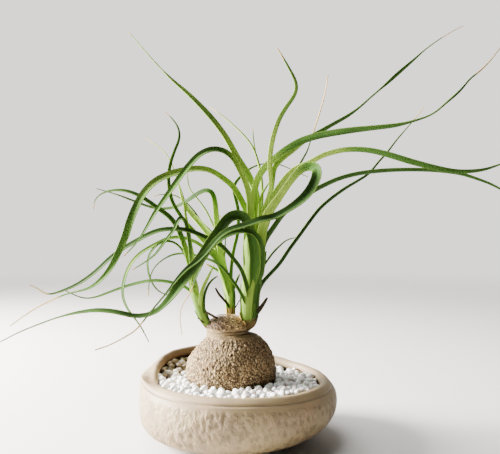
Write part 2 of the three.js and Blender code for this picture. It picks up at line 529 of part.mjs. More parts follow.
// Where a blade's face points at each station: square to its length, and turned from the viewer
function bladeFrames(rings, turns) {
  const frames = rings.map(({ point, tangent, share }) => {
    const sight = point.clone().sub(eye).normalize();
    const side = tangent.clone().cross(sight).normalize();
    const front = tangent.clone().cross(side);
    const turn = valueAlong(turns, share) * degrees;
    const across = side.multiplyScalar(Math.cos(turn)).addScaledVector(front, Math.sin(turn));
    return { across, face: tangent.clone().cross(across) };
  });
  const upward = frames.reduce((sum, frame) => sum + frame.face.z, 0);
  if (upward < 0) frames.forEach((frame) => frame.face.negate());
  return frames;
}

// One blade: a folded strip with a midrib, closed at both ends
function bladeSolid([, width, thread, turns, path]) {
  const curve = new THREE.CatmullRomCurve3(path.map(placed), false, "centripetal");
  const rings = stations(curve, bladeStride, bladeBend * degrees);
  const frames = bladeFrames(rings, turns);
  const points = [];
  rings.forEach(({ point, share }, i) => {
    const { across, face } = frames[i];
    const half = bladeWidth(width, thread, share) / 2;
    const fold = half * bladeFold;
    const thick = share < thread ? bladeThickness : threadThickness;
    const ring = [
      point.clone().addScaledVector(across, half).addScaledVector(face, fold),
      point.clone().addScaledVector(face, thick / 2),
      point.clone().addScaledVector(across, -half).addScaledVector(face, fold),
      point.clone().addScaledVector(face, -thick / 2),
    ];
    points.push(...ring.map((p) => p.toArray()));
  });
  const faces = [[0, 1, 3], [1, 2, 3]];
  for (let i = 0; i < rings.length - 1; i++) {
    const [a, b] = [i * 4, i * 4 + 4];
    faces.push([a, b + 1, a + 1], [a, b, b + 1], [a + 2, a + 1, b + 1], [a + 2, b + 1, b + 2]);
    faces.push([a + 2, b + 2, b + 3], [a + 2, b + 3, a + 3], [a, a + 3, b + 3], [a, b + 3, b]);
  }
  const end = (rings.length - 1) * 4;
  faces.push([end, end + 3, end + 1], [end + 1, end + 3, end + 2]);
  const solid = toSolid(geometryFrom(points, faces));
  return solid.volume() > 0 ? solid : toSolid(geometryFrom(points, faces.map((f) => f.reverse())));
}

// A stem: rings of a growing and shrinking radius along its points, with rounded ends
function stemSolid(path, growth) {
  const centres = path.map((p) => placed(p));
  const points = [];
  centres.forEach((centre, i) => {
    const [a, b] = [centres[Math.max(0, i - 1)], centres[Math.min(centres.length - 1, i + 1)]];
    const tangent = b.clone().sub(a).normalize();
    const side = new THREE.Vector3(0, 1, 0).cross(tangent).normalize();
    const front = tangent.clone().cross(side);
    for (let k = 0; k < stemSides; k++) {
      const angle = (k * 2 * Math.PI) / stemSides;
      const radius = path[i][3] + growth;
      const p = centre.clone().addScaledVector(side, radius * Math.cos(angle));
      points.push(p.addScaledVector(front, radius * Math.sin(angle)).toArray());
    }
  });
  const ends = [centres[0].clone(), centres[centres.length - 1].clone()];
  ends[0].z -= stemEndRise + growth;
  ends[1].z += stemEndRise + growth;
  points.push(...ends.map((p) => p.toArray()));
  const faces = [];
  const at = (i, k) => i * stemSides + (k % stemSides);
  for (let k = 0; k < stemSides; k++) {
    faces.push([points.length - 2, at(0, k + 1), at(0, k)]);
    faces.push([points.length - 1, at(centres.length - 1, k), at(centres.length - 1, k + 1)]);
    for (let i = 0; i < centres.length - 1; i++) {
      faces.push([at(i, k), at(i, k + 1), at(i + 1, k + 1)], [at(i, k), at(i + 1, k + 1), at(i + 1, k)]);
    }
  }
  return toSolid(geometryFrom(points, faces));
}

// A flat layer from one height to another, wider than the bowl
function layer(low, high) {
  const slab = new THREE.BoxGeometry(4 * bowlRadius, 4 * bowlRadius, high - low);
  return toSolid(slab.translate(0, 0, (low + high) / 2));
}

// Where the gravel is heaped, at the back left under the high rim, and where it is lower, on the right:
// which way from the middle, from how far out, over what distance it changes, and by how much
const gravelSlopes = [
  { way: [-0.6, 0.8], from: 30, over: 45, rise: 8.5 },
  { way: [0.9, 0.44], from: 25, over: 40, rise: -3.5 },
];

function gravelRise(x, y) {
  const rises = gravelSlopes.map(
    ({ way, from, over, rise }) => rise * smooth((way[0] * x + way[1] * y - from) / over),
  );
  return rises[0] + rises[1];
}

// The bed that the pebbles lie in, as wide as the bowl
function gravelBed() {
  const low = soilTop + clearance;
  const rows = [bowlRadius, openingRadius - 8, trunkRadius + 11];
  const angles = Array.from({ length: bedSides }, (_, i) => (i * 360) / bedSides);
  return spin((angle) => {
    const [c, s] = [Math.cos(angle * degrees), Math.sin(angle * degrees)];
    const top = rows.map((r) => [r, gravelBedTop + gravelRise(r * c, r * s)]);
    return [[0, low], [bowlRadius, low], ...top, [0, gravelBedTop]];
  }, angles);
}

// The pebbles: faceted stones set in rings of a jittered grid, sunk in the bed
function pebbleSolids() {
  const found = [];
  const reach = Math.ceil(bowlRadius / pebbleSpacing);
  let n = 0;
  for (let i = -reach; i <= reach; i++) {
    for (let j = -reach; j <= reach; j++) {
      n += 7;
      const x = (i + (j % 2) * 0.5 + (chance(n) - 0.5) * pebbleJitter) * pebbleSpacing;
      const y = (j * pebbleRowStep + (chance(n + 1) - 0.5) * pebbleJitter) * pebbleSpacing;
      const size = pebbleSpacing * (0.45 + 0.09 * chance(n + 2));
      const fromTrunk = Math.hypot(x - trunkCentre[0], y - trunkCentre[1]) - trunkRadius - clearance;
      const fromLip = openingRadius + 1 - Math.hypot(x, y);
      if (Math.min(fromTrunk, fromLip) < size * pebbleRoom) continue;
      const stone = new THREE.SphereGeometry(1, 5, 3);
      stone.rotateX(Math.PI / 2 + (chance(n + 3) - 0.5) * 0.6);
      stone.scale(size * (0.9 + 0.2 * chance(n + 5)), size * (0.85 + 0.15 * chance(n + 6)), size * 0.8);
      stone.rotateZ(chance(n + 7) * 6);
      stone.translate(x, y, gravelBedTop + gravelRise(x, y) + 0.3 + 0.8 * chance(n + 8));
      found.push(toSolid(stone));
    }
  }
  return found;
}

// Building
const bowl = spin(bowlProfile, rimAngles);
addMesh("bowl", bowl, 0xc9b89b, 0.55);

const trunkHole = trunkSolid(plantClearance, false);
const hollow = spin(hollowProfile, rimAngles, true);
const soil = layer(0, soilTop).intersect(spin(hollowProfile, rimAngles.filter((_, i) => i % 2 === 0)));
addMesh("soil", soil.subtract(trunkHole), 0x4a3524, 0.95);

const pebbleHole = trunkSolid(barkRelief + plantClearance, false);
const gravel = wasm.Manifold.union([gravelBed(), ...pebbleSolids()]).intersect(hollow);
addMesh("gravel", gravel.subtract(pebbleHole), 0xf2efe9, 0.7);

const sockets = Object.values(stems).map((path) => stemSolid(path.slice(0, 4), plantClearance));
const trunk = trunkSolid(0, true).subtract(wasm.Manifold.union(sockets));
addMesh("caudex", trunk, 0x9c8568, 0.9);

const greens = { large: 0x5c8a2c, middle: 0x6f9a35, left: 0x7aa53c };
for (const [name, path] of Object.entries(stems)) {
  const blades = leaves[name].map(bladeSolid);
  const shoot = wasm.Manifold.union([stemSolid(path, 0), ...blades]);
  addMesh(name + "_shoot", shoot, greens[name], 0.5);
}

export default group;
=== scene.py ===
# A potted ponytail palm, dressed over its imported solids.
# Sizes are written in millimetres and turned into metres where a mesh is placed. +Z is up, +X is to the
# right as seen from the front, and the front viewer looks along +Y.
import bpy
import bmesh
import math
import random
from mathutils import Matrix, Vector, noise


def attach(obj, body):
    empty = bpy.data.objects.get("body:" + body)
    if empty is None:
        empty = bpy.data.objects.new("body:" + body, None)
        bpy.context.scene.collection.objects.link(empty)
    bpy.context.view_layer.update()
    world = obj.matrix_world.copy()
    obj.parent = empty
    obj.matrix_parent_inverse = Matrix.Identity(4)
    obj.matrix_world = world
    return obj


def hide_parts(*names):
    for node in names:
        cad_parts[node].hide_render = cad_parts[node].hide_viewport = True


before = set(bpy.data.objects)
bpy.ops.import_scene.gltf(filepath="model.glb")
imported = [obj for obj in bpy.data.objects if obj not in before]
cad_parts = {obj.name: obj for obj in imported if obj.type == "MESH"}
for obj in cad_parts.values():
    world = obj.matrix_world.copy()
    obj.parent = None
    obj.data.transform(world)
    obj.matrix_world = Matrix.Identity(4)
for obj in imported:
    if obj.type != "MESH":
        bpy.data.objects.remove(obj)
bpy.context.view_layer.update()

mm = 0.001
noise.seed_set(7)  # unseeded, the noise vectors differ from run to run
# The crown's depth stretches how far each leaf lies in front or behind
viewer = {"eye": (11, -639, 208), "lens": 46, "sensor": 36, "crownDepth": 1.3}
eye = Vector(viewer["eye"])


def smooth(t):
    t = min(1, max(0, t))
    return t * t * (3 - 2 * t)


def between(a, b, t):
    return a + (b - a) * t


def tone(red, green, blue):
    # A colour as a paint program shows it, made linear
    channels = [c / 255 for c in (red, green, blue)]
    return (*[c / 12.92 if c < 0.04045 else ((c + 0.055) / 1.055) ** 2.4 for c in channels], 1)


# Shaders

class Wire:
    # A socket that Python sums can be written on
    def __init__(self, maker, socket):
        self.maker, self.socket = maker, socket

    def sum(self, operation, *values, clamp=False):
        settings = {"operation": operation, "use_clamp": clamp}
        return self.maker.add("ShaderNodeMath", settings, dict(enumerate(values))).out(0)

    def __add__(self, other):
        return self.sum("ADD", self, other)

    def __sub__(self, other):
        return self.sum("SUBTRACT", self, other)

    def __rsub__(self, other):
        return self.sum("SUBTRACT", other, self)

    def __mul__(self, other):
        return self.sum("MULTIPLY", self, other)

    __radd__, __rmul__ = __add__, __mul__

    def sine(self):
        return self.sum("SINE", self)

    def held(self):
        return self.sum("ADD", self, 0, clamp=True)

    def spread(self, low, high):
        # 0 below low, 1 above high and a smooth ramp between them
        settings = {"interpolation_type": "SMOOTHSTEP"}
        sockets = {"Value": self, "From Min": low, "From Max": high}
        return self.maker.add("ShaderNodeMapRange", settings, sockets).out("Result")


class Placed:
    def __init__(self, maker, node):
        self.maker, self.node = maker, node

    def out(self, key):
        return Wire(self.maker, self.node.outputs[key])


class Board:
    # Nodes that are placed and wired in one step
    def __init__(self, tree):
        self.tree = tree
        self.tree.nodes.clear()

    def add(self, kind, settings=None, sockets=None):
        node = self.tree.nodes.new(kind)
        for key, value in (settings or {}).items():
            if key == "stops":
                for spare in range(len(value) - 2):
                    node.color_ramp.elements.new(0.5)
                for element, (position, colour) in zip(node.color_ramp.elements, value):
                    element.position, element.color = position, colour
            else:
                setattr(node, key, value)
        for key, value in (sockets or {}).items():
            if isinstance(value, Wire):
                self.tree.links.new(value.socket, node.inputs[key])
            else:
                node.inputs[key].default_value = value
        return Placed(self, node)

    def mix(self, share, first, second):
        return self.add("ShaderNodeMix", {"data_type": "RGBA"}, {0: share, 6: first, 7: second}).out(2)


class Finish(Board):
    # A material with one Principled shader
    def __init__(self, name, **constants):
        self.material = bpy.data.materials.new(name)
        self.material.use_nodes = True
        super().__init__(self.material.node_tree)
        self.shader = self.add("ShaderNodeBsdfPrincipled", {}, constants)
        self.add("ShaderNodeOutputMaterial", {}, {"Surface": self.shader.out("BSDF")})
        self.place = self.add("ShaderNodeTexCoord").out("Object")

    def painted(self, name):
        return self.add("ShaderNodeAttribute", {"attribute_name": name}).out("Fac")

    def grain(self, size, detail=4, rough=0.55, stretch=(1, 1, 1), place=None, twist=0):
        # Noise whose lumps are about size millimetres across, longer where stretch is over 1
        scale = tuple(1 / (s * size * mm) for s in stretch)
        spot = self.add("ShaderNodeMapping", {}, {"Vector": place or self.place, "Scale": scale})
        sockets = {"Vector": spot.out(0), "Scale": 1, "Detail": detail, "Roughness": rough}
        sockets["Distortion"] = twist
        return self.add("ShaderNodeTexNoise", {}, sockets).out("Fac")

    def plates(self, size, stretch=(1, 1, 1), wander=0.6):
        # How far a spot is from the nearest crack between plates about size millimetres across
        scale = tuple(1 / (s * size * mm) for s in stretch)
        spot = self.add("ShaderNodeMapping", {}, {"Vector": self.place, "Scale": scale}).out(0)
        drift = self.add("ShaderNodeTexNoise", {}, {"Vector": spot, "Scale": 0.6, "Detail": 2}).out("Color")
        settings = {"operation": "MULTIPLY_ADD"}
        spot = self.add("ShaderNodeVectorMath", settings, {0: drift, 1: (wander,) * 3, 2: spot}).out(0)
        settings = {"feature": "DISTANCE_TO_EDGE"}
        return self.add("ShaderNodeTexVoronoi", settings, {"Vector": spot, "Scale": 1}).out("Distance")

    def finish(self, colour, roughness, height=None, depth=0.3, **more):
        sockets = {"Base Color": colour, "Roughness": roughness, **more}
        if height:
            settings = {"Strength": 1, "Distance": depth * mm, "Height": height}
            sockets["Normal"] = self.add("ShaderNodeBump", {}, settings).out("Normal")
        for key, wire in sockets.items():
            self.tree.links.new(wire.socket, self.shader.node.inputs[key])
        return self.material


def leafFinish():
    look = {
        "old": tone(34, 57, 20), "mid": tone(64, 98, 36), "young": tone(146, 176, 70),
        "straw": tone(202, 170, 98), "rust": tone(44, 38, 26), "veins": 3,
    }
    f = Finish("leafSkin", **{"IOR": 1.36, "Specular IOR Level": 0.07})
    chart = f.add("ShaderNodeUVMap", {"uv_map": "UVMap"}).out("UV")
    sides = f.add("ShaderNodeSeparateXYZ", {}, {"Vector": chart})
    # On the leaf's chart 1 is its width, or 100 mm along it, and a grain of 1000 is as long as that 1
    streak = f.grain(1000, 2, 0.5, (0.3, 0.7, 1), chart)
    fine = f.grain(1000, 1, 0.5, (0.13, 0.35, 1), chart)
    patch = f.grain(26, 3, 0.6)
    veins = (sides.out("X") * (look["veins"] * 2 * math.pi)).sine()
    # How young the leaf is, with painted shade on the folded leaves' far parts and painted light on the
    # middle stem's sheaths
    youth = (f.painted("youth") + (patch - 0.5) * 0.35 + (streak - 0.5) * 0.35).held()
    settings = {"stops": [(0, look["old"]), (0.45, look["mid"]), (1, look["young"])]}
    green = f.add("ShaderNodeValToRGB", settings, {"Fac": youth}).out("Color")
    green = f.mix((veins * 0.5 + 0.5) * 0.1 + fine.spread(0.5, 0.8) * 0.15, green, look["old"])
    green = f.mix(f.painted("margin") * 0.2, green, look["young"])
    dry = f.mix(f.painted("rust"), look["straw"], look["rust"])
    dry = f.mix(fine.spread(0.45, 0.7) * 0.35, dry, look["rust"])
    gone = (f.painted("dryness") + (streak - 0.5) * 0.8).spread(0.3, 0.62)
    colour = f.mix(gone, green, dry)
    roughness = 0.52 + fine * 0.14 + gone * 0.25
    return f.finish(colour, roughness, veins * 0.3 + streak * 0.4, 0.03)


def freshSide(f, patch):
    # The old cut is brown and rotten on the left and still straw-coloured on the right, and the border
    # between the two wanders with the patches
    sharpness, wander = 55, 1.2
    across = f.add("ShaderNodeSeparateXYZ", {}, {"Vector": f.place}).out("X")
    return (across * sharpness + patch * wander).spread(-0.4, 0.6)


def barkFinish():
    look = {
        "ridge": tone(172, 146, 104), "warm": tone(140, 109, 70), "pale": tone(214, 191, 147),
        "crack": tone(44, 31, 21), "neck": tone(140, 118, 78), "cut": tone(98, 78, 52),
        "straw": tone(226, 194, 134), "raw": tone(78, 58, 40),
    }
    f = Finish("crackedBark", **{"IOR": 1.4})
    patch = f.grain(14, 4, 0.6)
    fleck = f.grain(1.6, 4, 0.6, (1, 1, 1.8))
    hair = f.grain(0.9, 3, 0.55, (1, 1, 5))
    band = f.grain(0.9, 4, 0.6, (12, 12, 1))
    # The plates between the cracks are longer on the upper half
    height = f.add("ShaderNodeSeparateXYZ", {}, {"Vector": f.place}).out("Z")
    upper = height.spread(64 * mm, 84 * mm)
    plates = between(f.plates(2.3, (1, 1, 1.2)), f.plates(1.9, (1, 1, 3.2)), upper)
    bare = (1 - f.painted("collar") * 0.85) * (1 - f.painted("cutTop"))
    skin = f.mix(patch.spread(0.35, 0.68), look["ridge"], look["warm"])
    # Paler plate centres: partly weathered bark, partly a painted highlight on the ridges
    skin = f.mix(plates.spread(0.14, 0.34) * fleck.spread(0.25, 0.7) * 0.65, skin, look["pale"])
    skin = f.mix(hair.spread(0.5, 0.66) * 0.22, skin, look["crack"])
    collar = f.mix(band.spread(0.36, 0.56) * 0.9, look["neck"], look["cut"])
    skin = f.mix(f.painted("collar"), skin, collar)
    fresh = freshSide(f, f.grain(7, 3, 0.6, twist=0.8))
    torn = f.mix(fleck.spread(0.4, 0.6), look["cut"], look["raw"])
    torn = f.mix(fresh * 0.8, torn, f.mix(fleck.spread(0.4, 0.6), look["warm"], look["straw"]))
    torn = f.mix(hair.spread(0.46, 0.6) * 0.7, torn, look["crack"])
    skin = f.mix(f.painted("cutTop"), skin, torn)
    crack = (f.painted("crack") * 0.75 + (0.15 - plates) * 6 * bare + (fleck - 0.5) * 0.3).spread(0.1, 0.9)
    colour = f.mix(crack * 0.85, skin, look["crack"])
    # Painted shade: the hollow in the cut is darkened
    colour = f.mix(f.painted("hollow"), colour, look["crack"])
    relief = plates.spread(0, 0.24) * bare * 1.6 + fleck * 0.4 + hair * 0.2
    relief = relief + band * f.painted("collar") * 1.5
    return f.finish(colour, 0.72 + fleck * 0.2, relief, 0.4)


def fibreFinish():
    look = {"pale": tone(226, 194, 134), "brown": tone(108, 80, 50), "dark": tone(54, 40, 28)}
    f = Finish("dryFibre", **{"IOR": 1.4})
    patch = f.grain(5, 3, 0.6)
    rotten = f.mix(patch.spread(0.38, 0.6), look["dark"], look["brown"])
    straw = f.mix(f.grain(1.6, 2).spread(0.42, 0.6), look["pale"], look["brown"])
    colour = f.mix(freshSide(f, patch), rotten, straw)
    return f.finish(colour, 0.75 + patch * 0.15, f.grain(0.4, 3), 0.15)


def stonewareFinish():
    look = {
        "clay": tone(136, 117, 88), "sand": tone(151, 132, 94), "rose": tone(151, 119, 92),
        "ash": tone(90, 75, 55), "speck": tone(78, 54, 34), "soil": tone(40, 31, 22),
    }
    f = Finish("stoneware", **{"IOR": 1.48, "Coat Weight": 0.08, "Coat Roughness": 0.35})
    cloud = f.grain(34, 4, 0.6)
    blush = f.grain(19, 4, 0.6, twist=0.6)
    fleck = f.grain(1.5, 4, 0.65)
    speck = f.grain(2.1, 2, 0.5)
    pit = f.painted("pit")
    colour = f.mix(cloud.spread(0.36, 0.64), look["clay"], look["sand"])
    colour = f.mix(blush.spread(0.5, 0.72) * 0.6, colour, look["rose"])
    colour = f.mix(pit.spread(0.25, 0.9) * 0.45, colour, look["ash"])
    colour = f.mix(fleck.spread(0.5, 0.75) * 0.25, colour, look["ash"])
    colour = f.mix(speck.spread(0.74, 0.8) * 0.6, colour, look["speck"])
    # Dark specks along the fold's crease, and painted shade on the inside of the raised rim
    colour = f.mix(f.painted("grime") * 0.85, colour, look["speck"])
    # Painted shade along the groove under the lip
    colour = f.mix(f.painted("groove") * 0.35, colour, look["ash"])
    # Painted shade in the undercut below the lip, in the colour of soil
    colour = f.mix((f.painted("stain") + (fleck - 0.5) * 0.5).spread(0.25, 0.6), colour, look["soil"])
    roughness = 0.5 + fleck * 0.22 + pit * 0.1
    beaten = f.grain(3.4, 2, 0.45, (1, 1, 1.35), twist=0.5).spread(0.3, 0.7) * f.painted("beaten")
    return f.finish(colour, roughness, beaten * 1.6 + fleck * 0.4 + f.grain(0.6, 3) * 0.3, 0.3)


def pebbleFinish():
    look = {
        "white": tone(250, 249, 246), "grey": tone(188, 182, 175), "tan": tone(128, 114, 91),
        "moss": tone(78, 72, 50),
    }
    f = Finish("whitePebble", **{"Subsurface Weight": 0.08, "Subsurface Scale": 0.001, "IOR": 1.5})
    kind = f.painted("stoneTone")
    vein = f.grain(3.2, 5, 0.65, twist=0.8)
    dust = f.grain(0.8, 4, 0.6)
    colour = f.mix(kind.spread(0.35, 0.85) * 0.55, look["white"], look["grey"])
    # Tan and moss: a few stones at random, and the heaped stones at the back left, partly dirt, partly
    # painted shade
    colour = f.mix(kind.spread(0.93, 0.95), colour, look["tan"])
    colour = f.mix(kind.spread(0.975, 0.985), colour, look["moss"])
    colour = f.mix(vein.spread(0.55, 0.75) * 0.35, colour, look["grey"])
    colour = f.mix(dust.spread(0.6, 0.8) * 0.3, colour, look["tan"])
    return f.finish(colour, 0.46 + dust * 0.3, vein * 0.5 + dust * 0.5, 0.2)


def soilFinish(name="pottingSoil"):
    look = {"dark": tone(34, 26, 20), "brown": tone(74, 54, 36), "crumb": tone(120, 100, 76)}
    f = Finish(name, **{"IOR": 1.35})
    clod = f.grain(4, 5, 0.7)
    crumb = f.grain(1.3, 3, 0.6)
    colour = f.mix(clod.spread(0.35, 0.65), look["dark"], look["brown"])
    colour = f.mix(crumb.spread(0.62, 0.75) * 0.7, colour, look["crumb"])
    return f.finish(colour, 0.8 + crumb * 0.15, clod * 1.2 + crumb * 0.6, 0.8)


def floorFinish():
    # Plain, and fading into the sky far from the plant
    look = {"plain": tone(217, 215, 214), "shade": tone(212, 210, 209)}
    f = Finish("paleFloor", **{"IOR": 1.4, "Specular IOR Level": 0.2})
    cloud = f.grain(260, 3, 0.5)
    away = f.add("ShaderNodeVectorMath", {"operation": "LENGTH"}, {0: f.place}).out("Value")
    seen = 1 - away.spread(0.6, 2.6)
    return f.finish(f.mix(cloud, look["plain"], look["shade"]), 0.55 + cloud * 0.1, Alpha=seen)


# Modelling, as by hand

def deselectAll():
    if bpy.context.object and bpy.context.object.mode != "OBJECT":
        bpy.ops.object.mode_set(mode="OBJECT")
    bpy.ops.object.select_all(action="DESELECT")


def pick(*pieces):
    deselectAll()
    for piece in pieces:
        piece.select_set(True)
    bpy.context.view_layer.objects.active = pieces[0]


def finishWith(piece, kind, **settings):
    # One modifier, set and applied
    pick(piece)
    bpy.ops.object.modifier_add(type=kind)
    modifier = piece.modifiers[-1]
    for key, value in settings.items():
        setattr(modifier, key, value)
    bpy.ops.object.modifier_apply(modifier=modifier.name)


def joined(name, pieces):
    pick(*pieces)
    if len(pieces) > 1:
        bpy.ops.object.join()
    whole = bpy.context.object
    whole.name = whole.data.name = name
    return whole


def pushOut(piece, rule):
    # Moves each corner along its normal by the millimetres that the rule gives
    normals = [vertex.normal.copy() for vertex in piece.data.vertices]
    for vertex, normal in zip(piece.data.vertices, normals):
        vertex.co += normal * rule(vertex.co / mm, normal) * mm


def paint(piece, **marks):
    # Values that the finishes read, one list of them for each name
    for name, values in marks.items():
        layer = piece.data.attributes.new(name, "FLOAT", "POINT")
        layer.data.foreach_set("value", values)


def rounded(piece, angle=60):
    pick(piece)
    bpy.ops.object.shade_smooth_by_angle(angle=math.radians(angle))


def growRings(name, sides, ringCount, pole, placeRing):
    # A disc whose rim is extruded ring by ring and gathered to a point at the far end
    deselectAll()
    bpy.ops.mesh.primitive_circle_add(vertices=sides, radius=1, fill_type="TRIFAN")
    piece = bpy.context.object
    piece.name = piece.data.name = name
    bpy.ops.object.mode_set(mode="EDIT")
    bpy.ops.mesh.select_mode(type="VERT")
    bpy.ops.mesh.select_all(action="DESELECT")
    mesh = bmesh.from_edit_mesh(piece.data)
    way = mesh.verts.layers.float.new("way")
    for vertex in mesh.verts:
        if vertex.co.length > 0.5:
            vertex[way] = math.degrees(math.atan2(vertex.co.y, vertex.co.x)) % 360
            vertex.select = True
        else:
            vertex.co = pole(0) * mm
    mesh.select_flush(True)
    for ring in range(ringCount):
        if ring:
            bpy.ops.mesh.extrude_edges_move()
        mesh = bmesh.from_edit_mesh(piece.data)
        way = mesh.verts.layers.float["way"]
        for vertex in mesh.verts:
            if vertex.select:
                vertex.co = placeRing(ring, vertex[way]) * mm
        bmesh.update_edit_mesh(piece.data)
    bpy.ops.mesh.extrude_edges_move()
    bpy.ops.mesh.merge(type="CENTER")
    mesh = bmesh.from_edit_mesh(piece.data)
    for vertex in mesh.verts:
        if vertex.select:
            vertex.co = pole(1) * mm
    bmesh.update_edit_mesh(piece.data)
    bpy.ops.mesh.select_all(action="SELECT")
    bpy.ops.mesh.normals_make_consistent(inside=False)
    bpy.ops.object.mode_set(mode="OBJECT")
    piece.data.attributes.remove(piece.data.attributes["way"])
    return piece


def laySheet(name, across, along, placeAt, length):
    # A grid whose corners are laid where placeAt puts them, for 0 to 1 across and 0 to 1 along
    deselectAll()
    bpy.ops.mesh.primitive_grid_add(x_subdivisions=across, y_subdivisions=along, size=2)
    piece = bpy.context.object
    piece.name = piece.data.name = name
    spots = [((v.co.x + 1) / 2, (v.co.y + 1) / 2) for v in piece.data.vertices]
    for vertex, spot in zip(piece.data.vertices, spots):
        vertex.co = placeAt(*spot) * mm
    chart = piece.data.uv_layers["UVMap"].data
    for loop in piece.data.loops:
        u, v = spots[loop.vertex_index]
        chart[loop.index].uv = (u, v * length / 100)
    return piece, spots


def dress(piece, node, slotName, *materials):
    # The finished piece stands for its node
    for material in materials:
        piece.data.materials.append(material)
    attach(piece, "root")
    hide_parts(node)
    piece.data.update()
    print(piece.name, "has", len(piece.data.polygons), "faces")


# The bowl

bowl = {
    "sides": 112, "smoothing": 2, "footRadius": 50, "frontRim": 59, "outerRidge": 90, "lipRadius": 84.5,
    "opening": 79.5, "floor": 8.5, "fullestWay": 200, "flatMiddle": 40, "wobble": 0.35, "plainUnderLip": 6,
    "dimple": (5.6, 5.6, 7), "dimpleDepth": 0.9, "dimpleWidth": 0.62, "dimpleDrift": 0.45,
    # The inside below the unshaded lip is darkened as painted shade in the undercut, the inside and top of
    # the raised rim at the back get painted shade, and the fold's crease gets dark specks
    "unshadedLip": 7, "rimShadeStrength": 0.95, "rimShadeAbove": 66, "foldDepth": 2.4, "foldWidth": 3.2,
    # The line under the lip, as steps in and down from the outer ridge
    "groove": [(3.9, -3.9), (1.7, -3.8), (2.1, -1.6)],
    # Way round from the right in degrees; inner ridge radius and height; outer ridge radius and height;
    # depth of the crease between them
    "rim": [
        (0, 84.5, 57, 90, 54.5, -1), (22, 84.5, 58.8, 90, 56.3, -1), (45, 84.5, 60.4, 90, 57.9, -1),
        (65, 84.5, 64.2, 90, 61.7, -1), (95, 84.5, 70.5, 90, 67.8, -1),
        (122, 84.5, 77.2, 90, 74.2, -1), (145, 84.5, 76.5, 90.5, 72.7, -1),
        (158, 84.5, 74.6, 92.5, 68.5, -0.8), (168, 84.5, 71.5, 95, 63.5, -0.4),
        (176, 84.5, 69, 96.8, 61.8, 0.6), (183, 84.5, 65.5, 97.5, 61.5, 2), (189, 84.2, 60.5, 96, 61, 2.4),
        (195, 83.5, 57.8, 93.8, 60, 1.2), (203, 84, 58.2, 91.5, 58.6, -0.2),
        (215, 84.5, 59.2, 90, 57.6, -1), (240, 84.5, 59.8, 90, 57.5, -1), (270, 84.5, 59.6, 90, 57.3, -1),
        (315, 84.5, 58.3, 90, 56, -1), (360, 84.5, 57, 90, 54.5, -1),
    ],
    # The belly from the foot up, where it is leanest and where it is fullest
    "lean": [(54, 4), (67, 7), (80, 12.5), (90, 21), (96, 30), (97.5, 38), (96.3, 46)],
    "full": [(57, 3), (75, 4.5), (88.5, 9), (95.8, 16), (98.2, 25), (98, 35), (97, 45)],
    # The inside from the soil's height down
    "inside": [(90, 37), (87.5, 27), (77, 17.5), (63, 11)],
}


def rimAt(way):
    way = way % 360
    later = next(i for i, stop in enumerate(bowl["rim"]) if stop[0] > way)
    low, high = bowl["rim"][later - 1], bowl["rim"][later]
    share = smooth((way - low[0]) / (high[0] - low[0]))
    return [between(a, b, share) for a, b in zip(low, high)][1:]


def bowlProfile(way):
    innerR, innerZ, outerR, outerZ, crease = rimAt(way)
    lift, flare = innerZ - bowl["frontRim"], outerR - bowl["outerRidge"]
    fullness = 0.5 + 0.5 * math.cos(math.radians(way - bowl["fullestWay"]))
    belly = [
        (between(a[0], b[0], fullness), between(a[1], b[1], fullness))
        for a, b in zip(bowl["lean"], bowl["full"])
    ]
    foot, lip, opening = bowl["footRadius"], bowl["lipRadius"], bowl["opening"]
    return [
        (foot - 4, 0), (foot, 0), (foot + 2.5, 1.2), *belly,
        (94.5 + flare * 0.6, outerZ - 5),
        *[(outerR + r * (1 - flare / 8), outerZ + z) for r, z in bowl["groove"]], (outerR, outerZ),
        ((innerR + outerR) / 2, (innerZ + outerZ) / 2 - crease), (innerR, innerZ),
        (lip - 3, innerZ - 0.8), (opening, innerZ - 5), (opening + 1.5, innerZ - 8.2),
        (87.5, 46 + lift * 0.55), *bowl["inside"], (46, bowl["floor"] + 0.5),
    ]


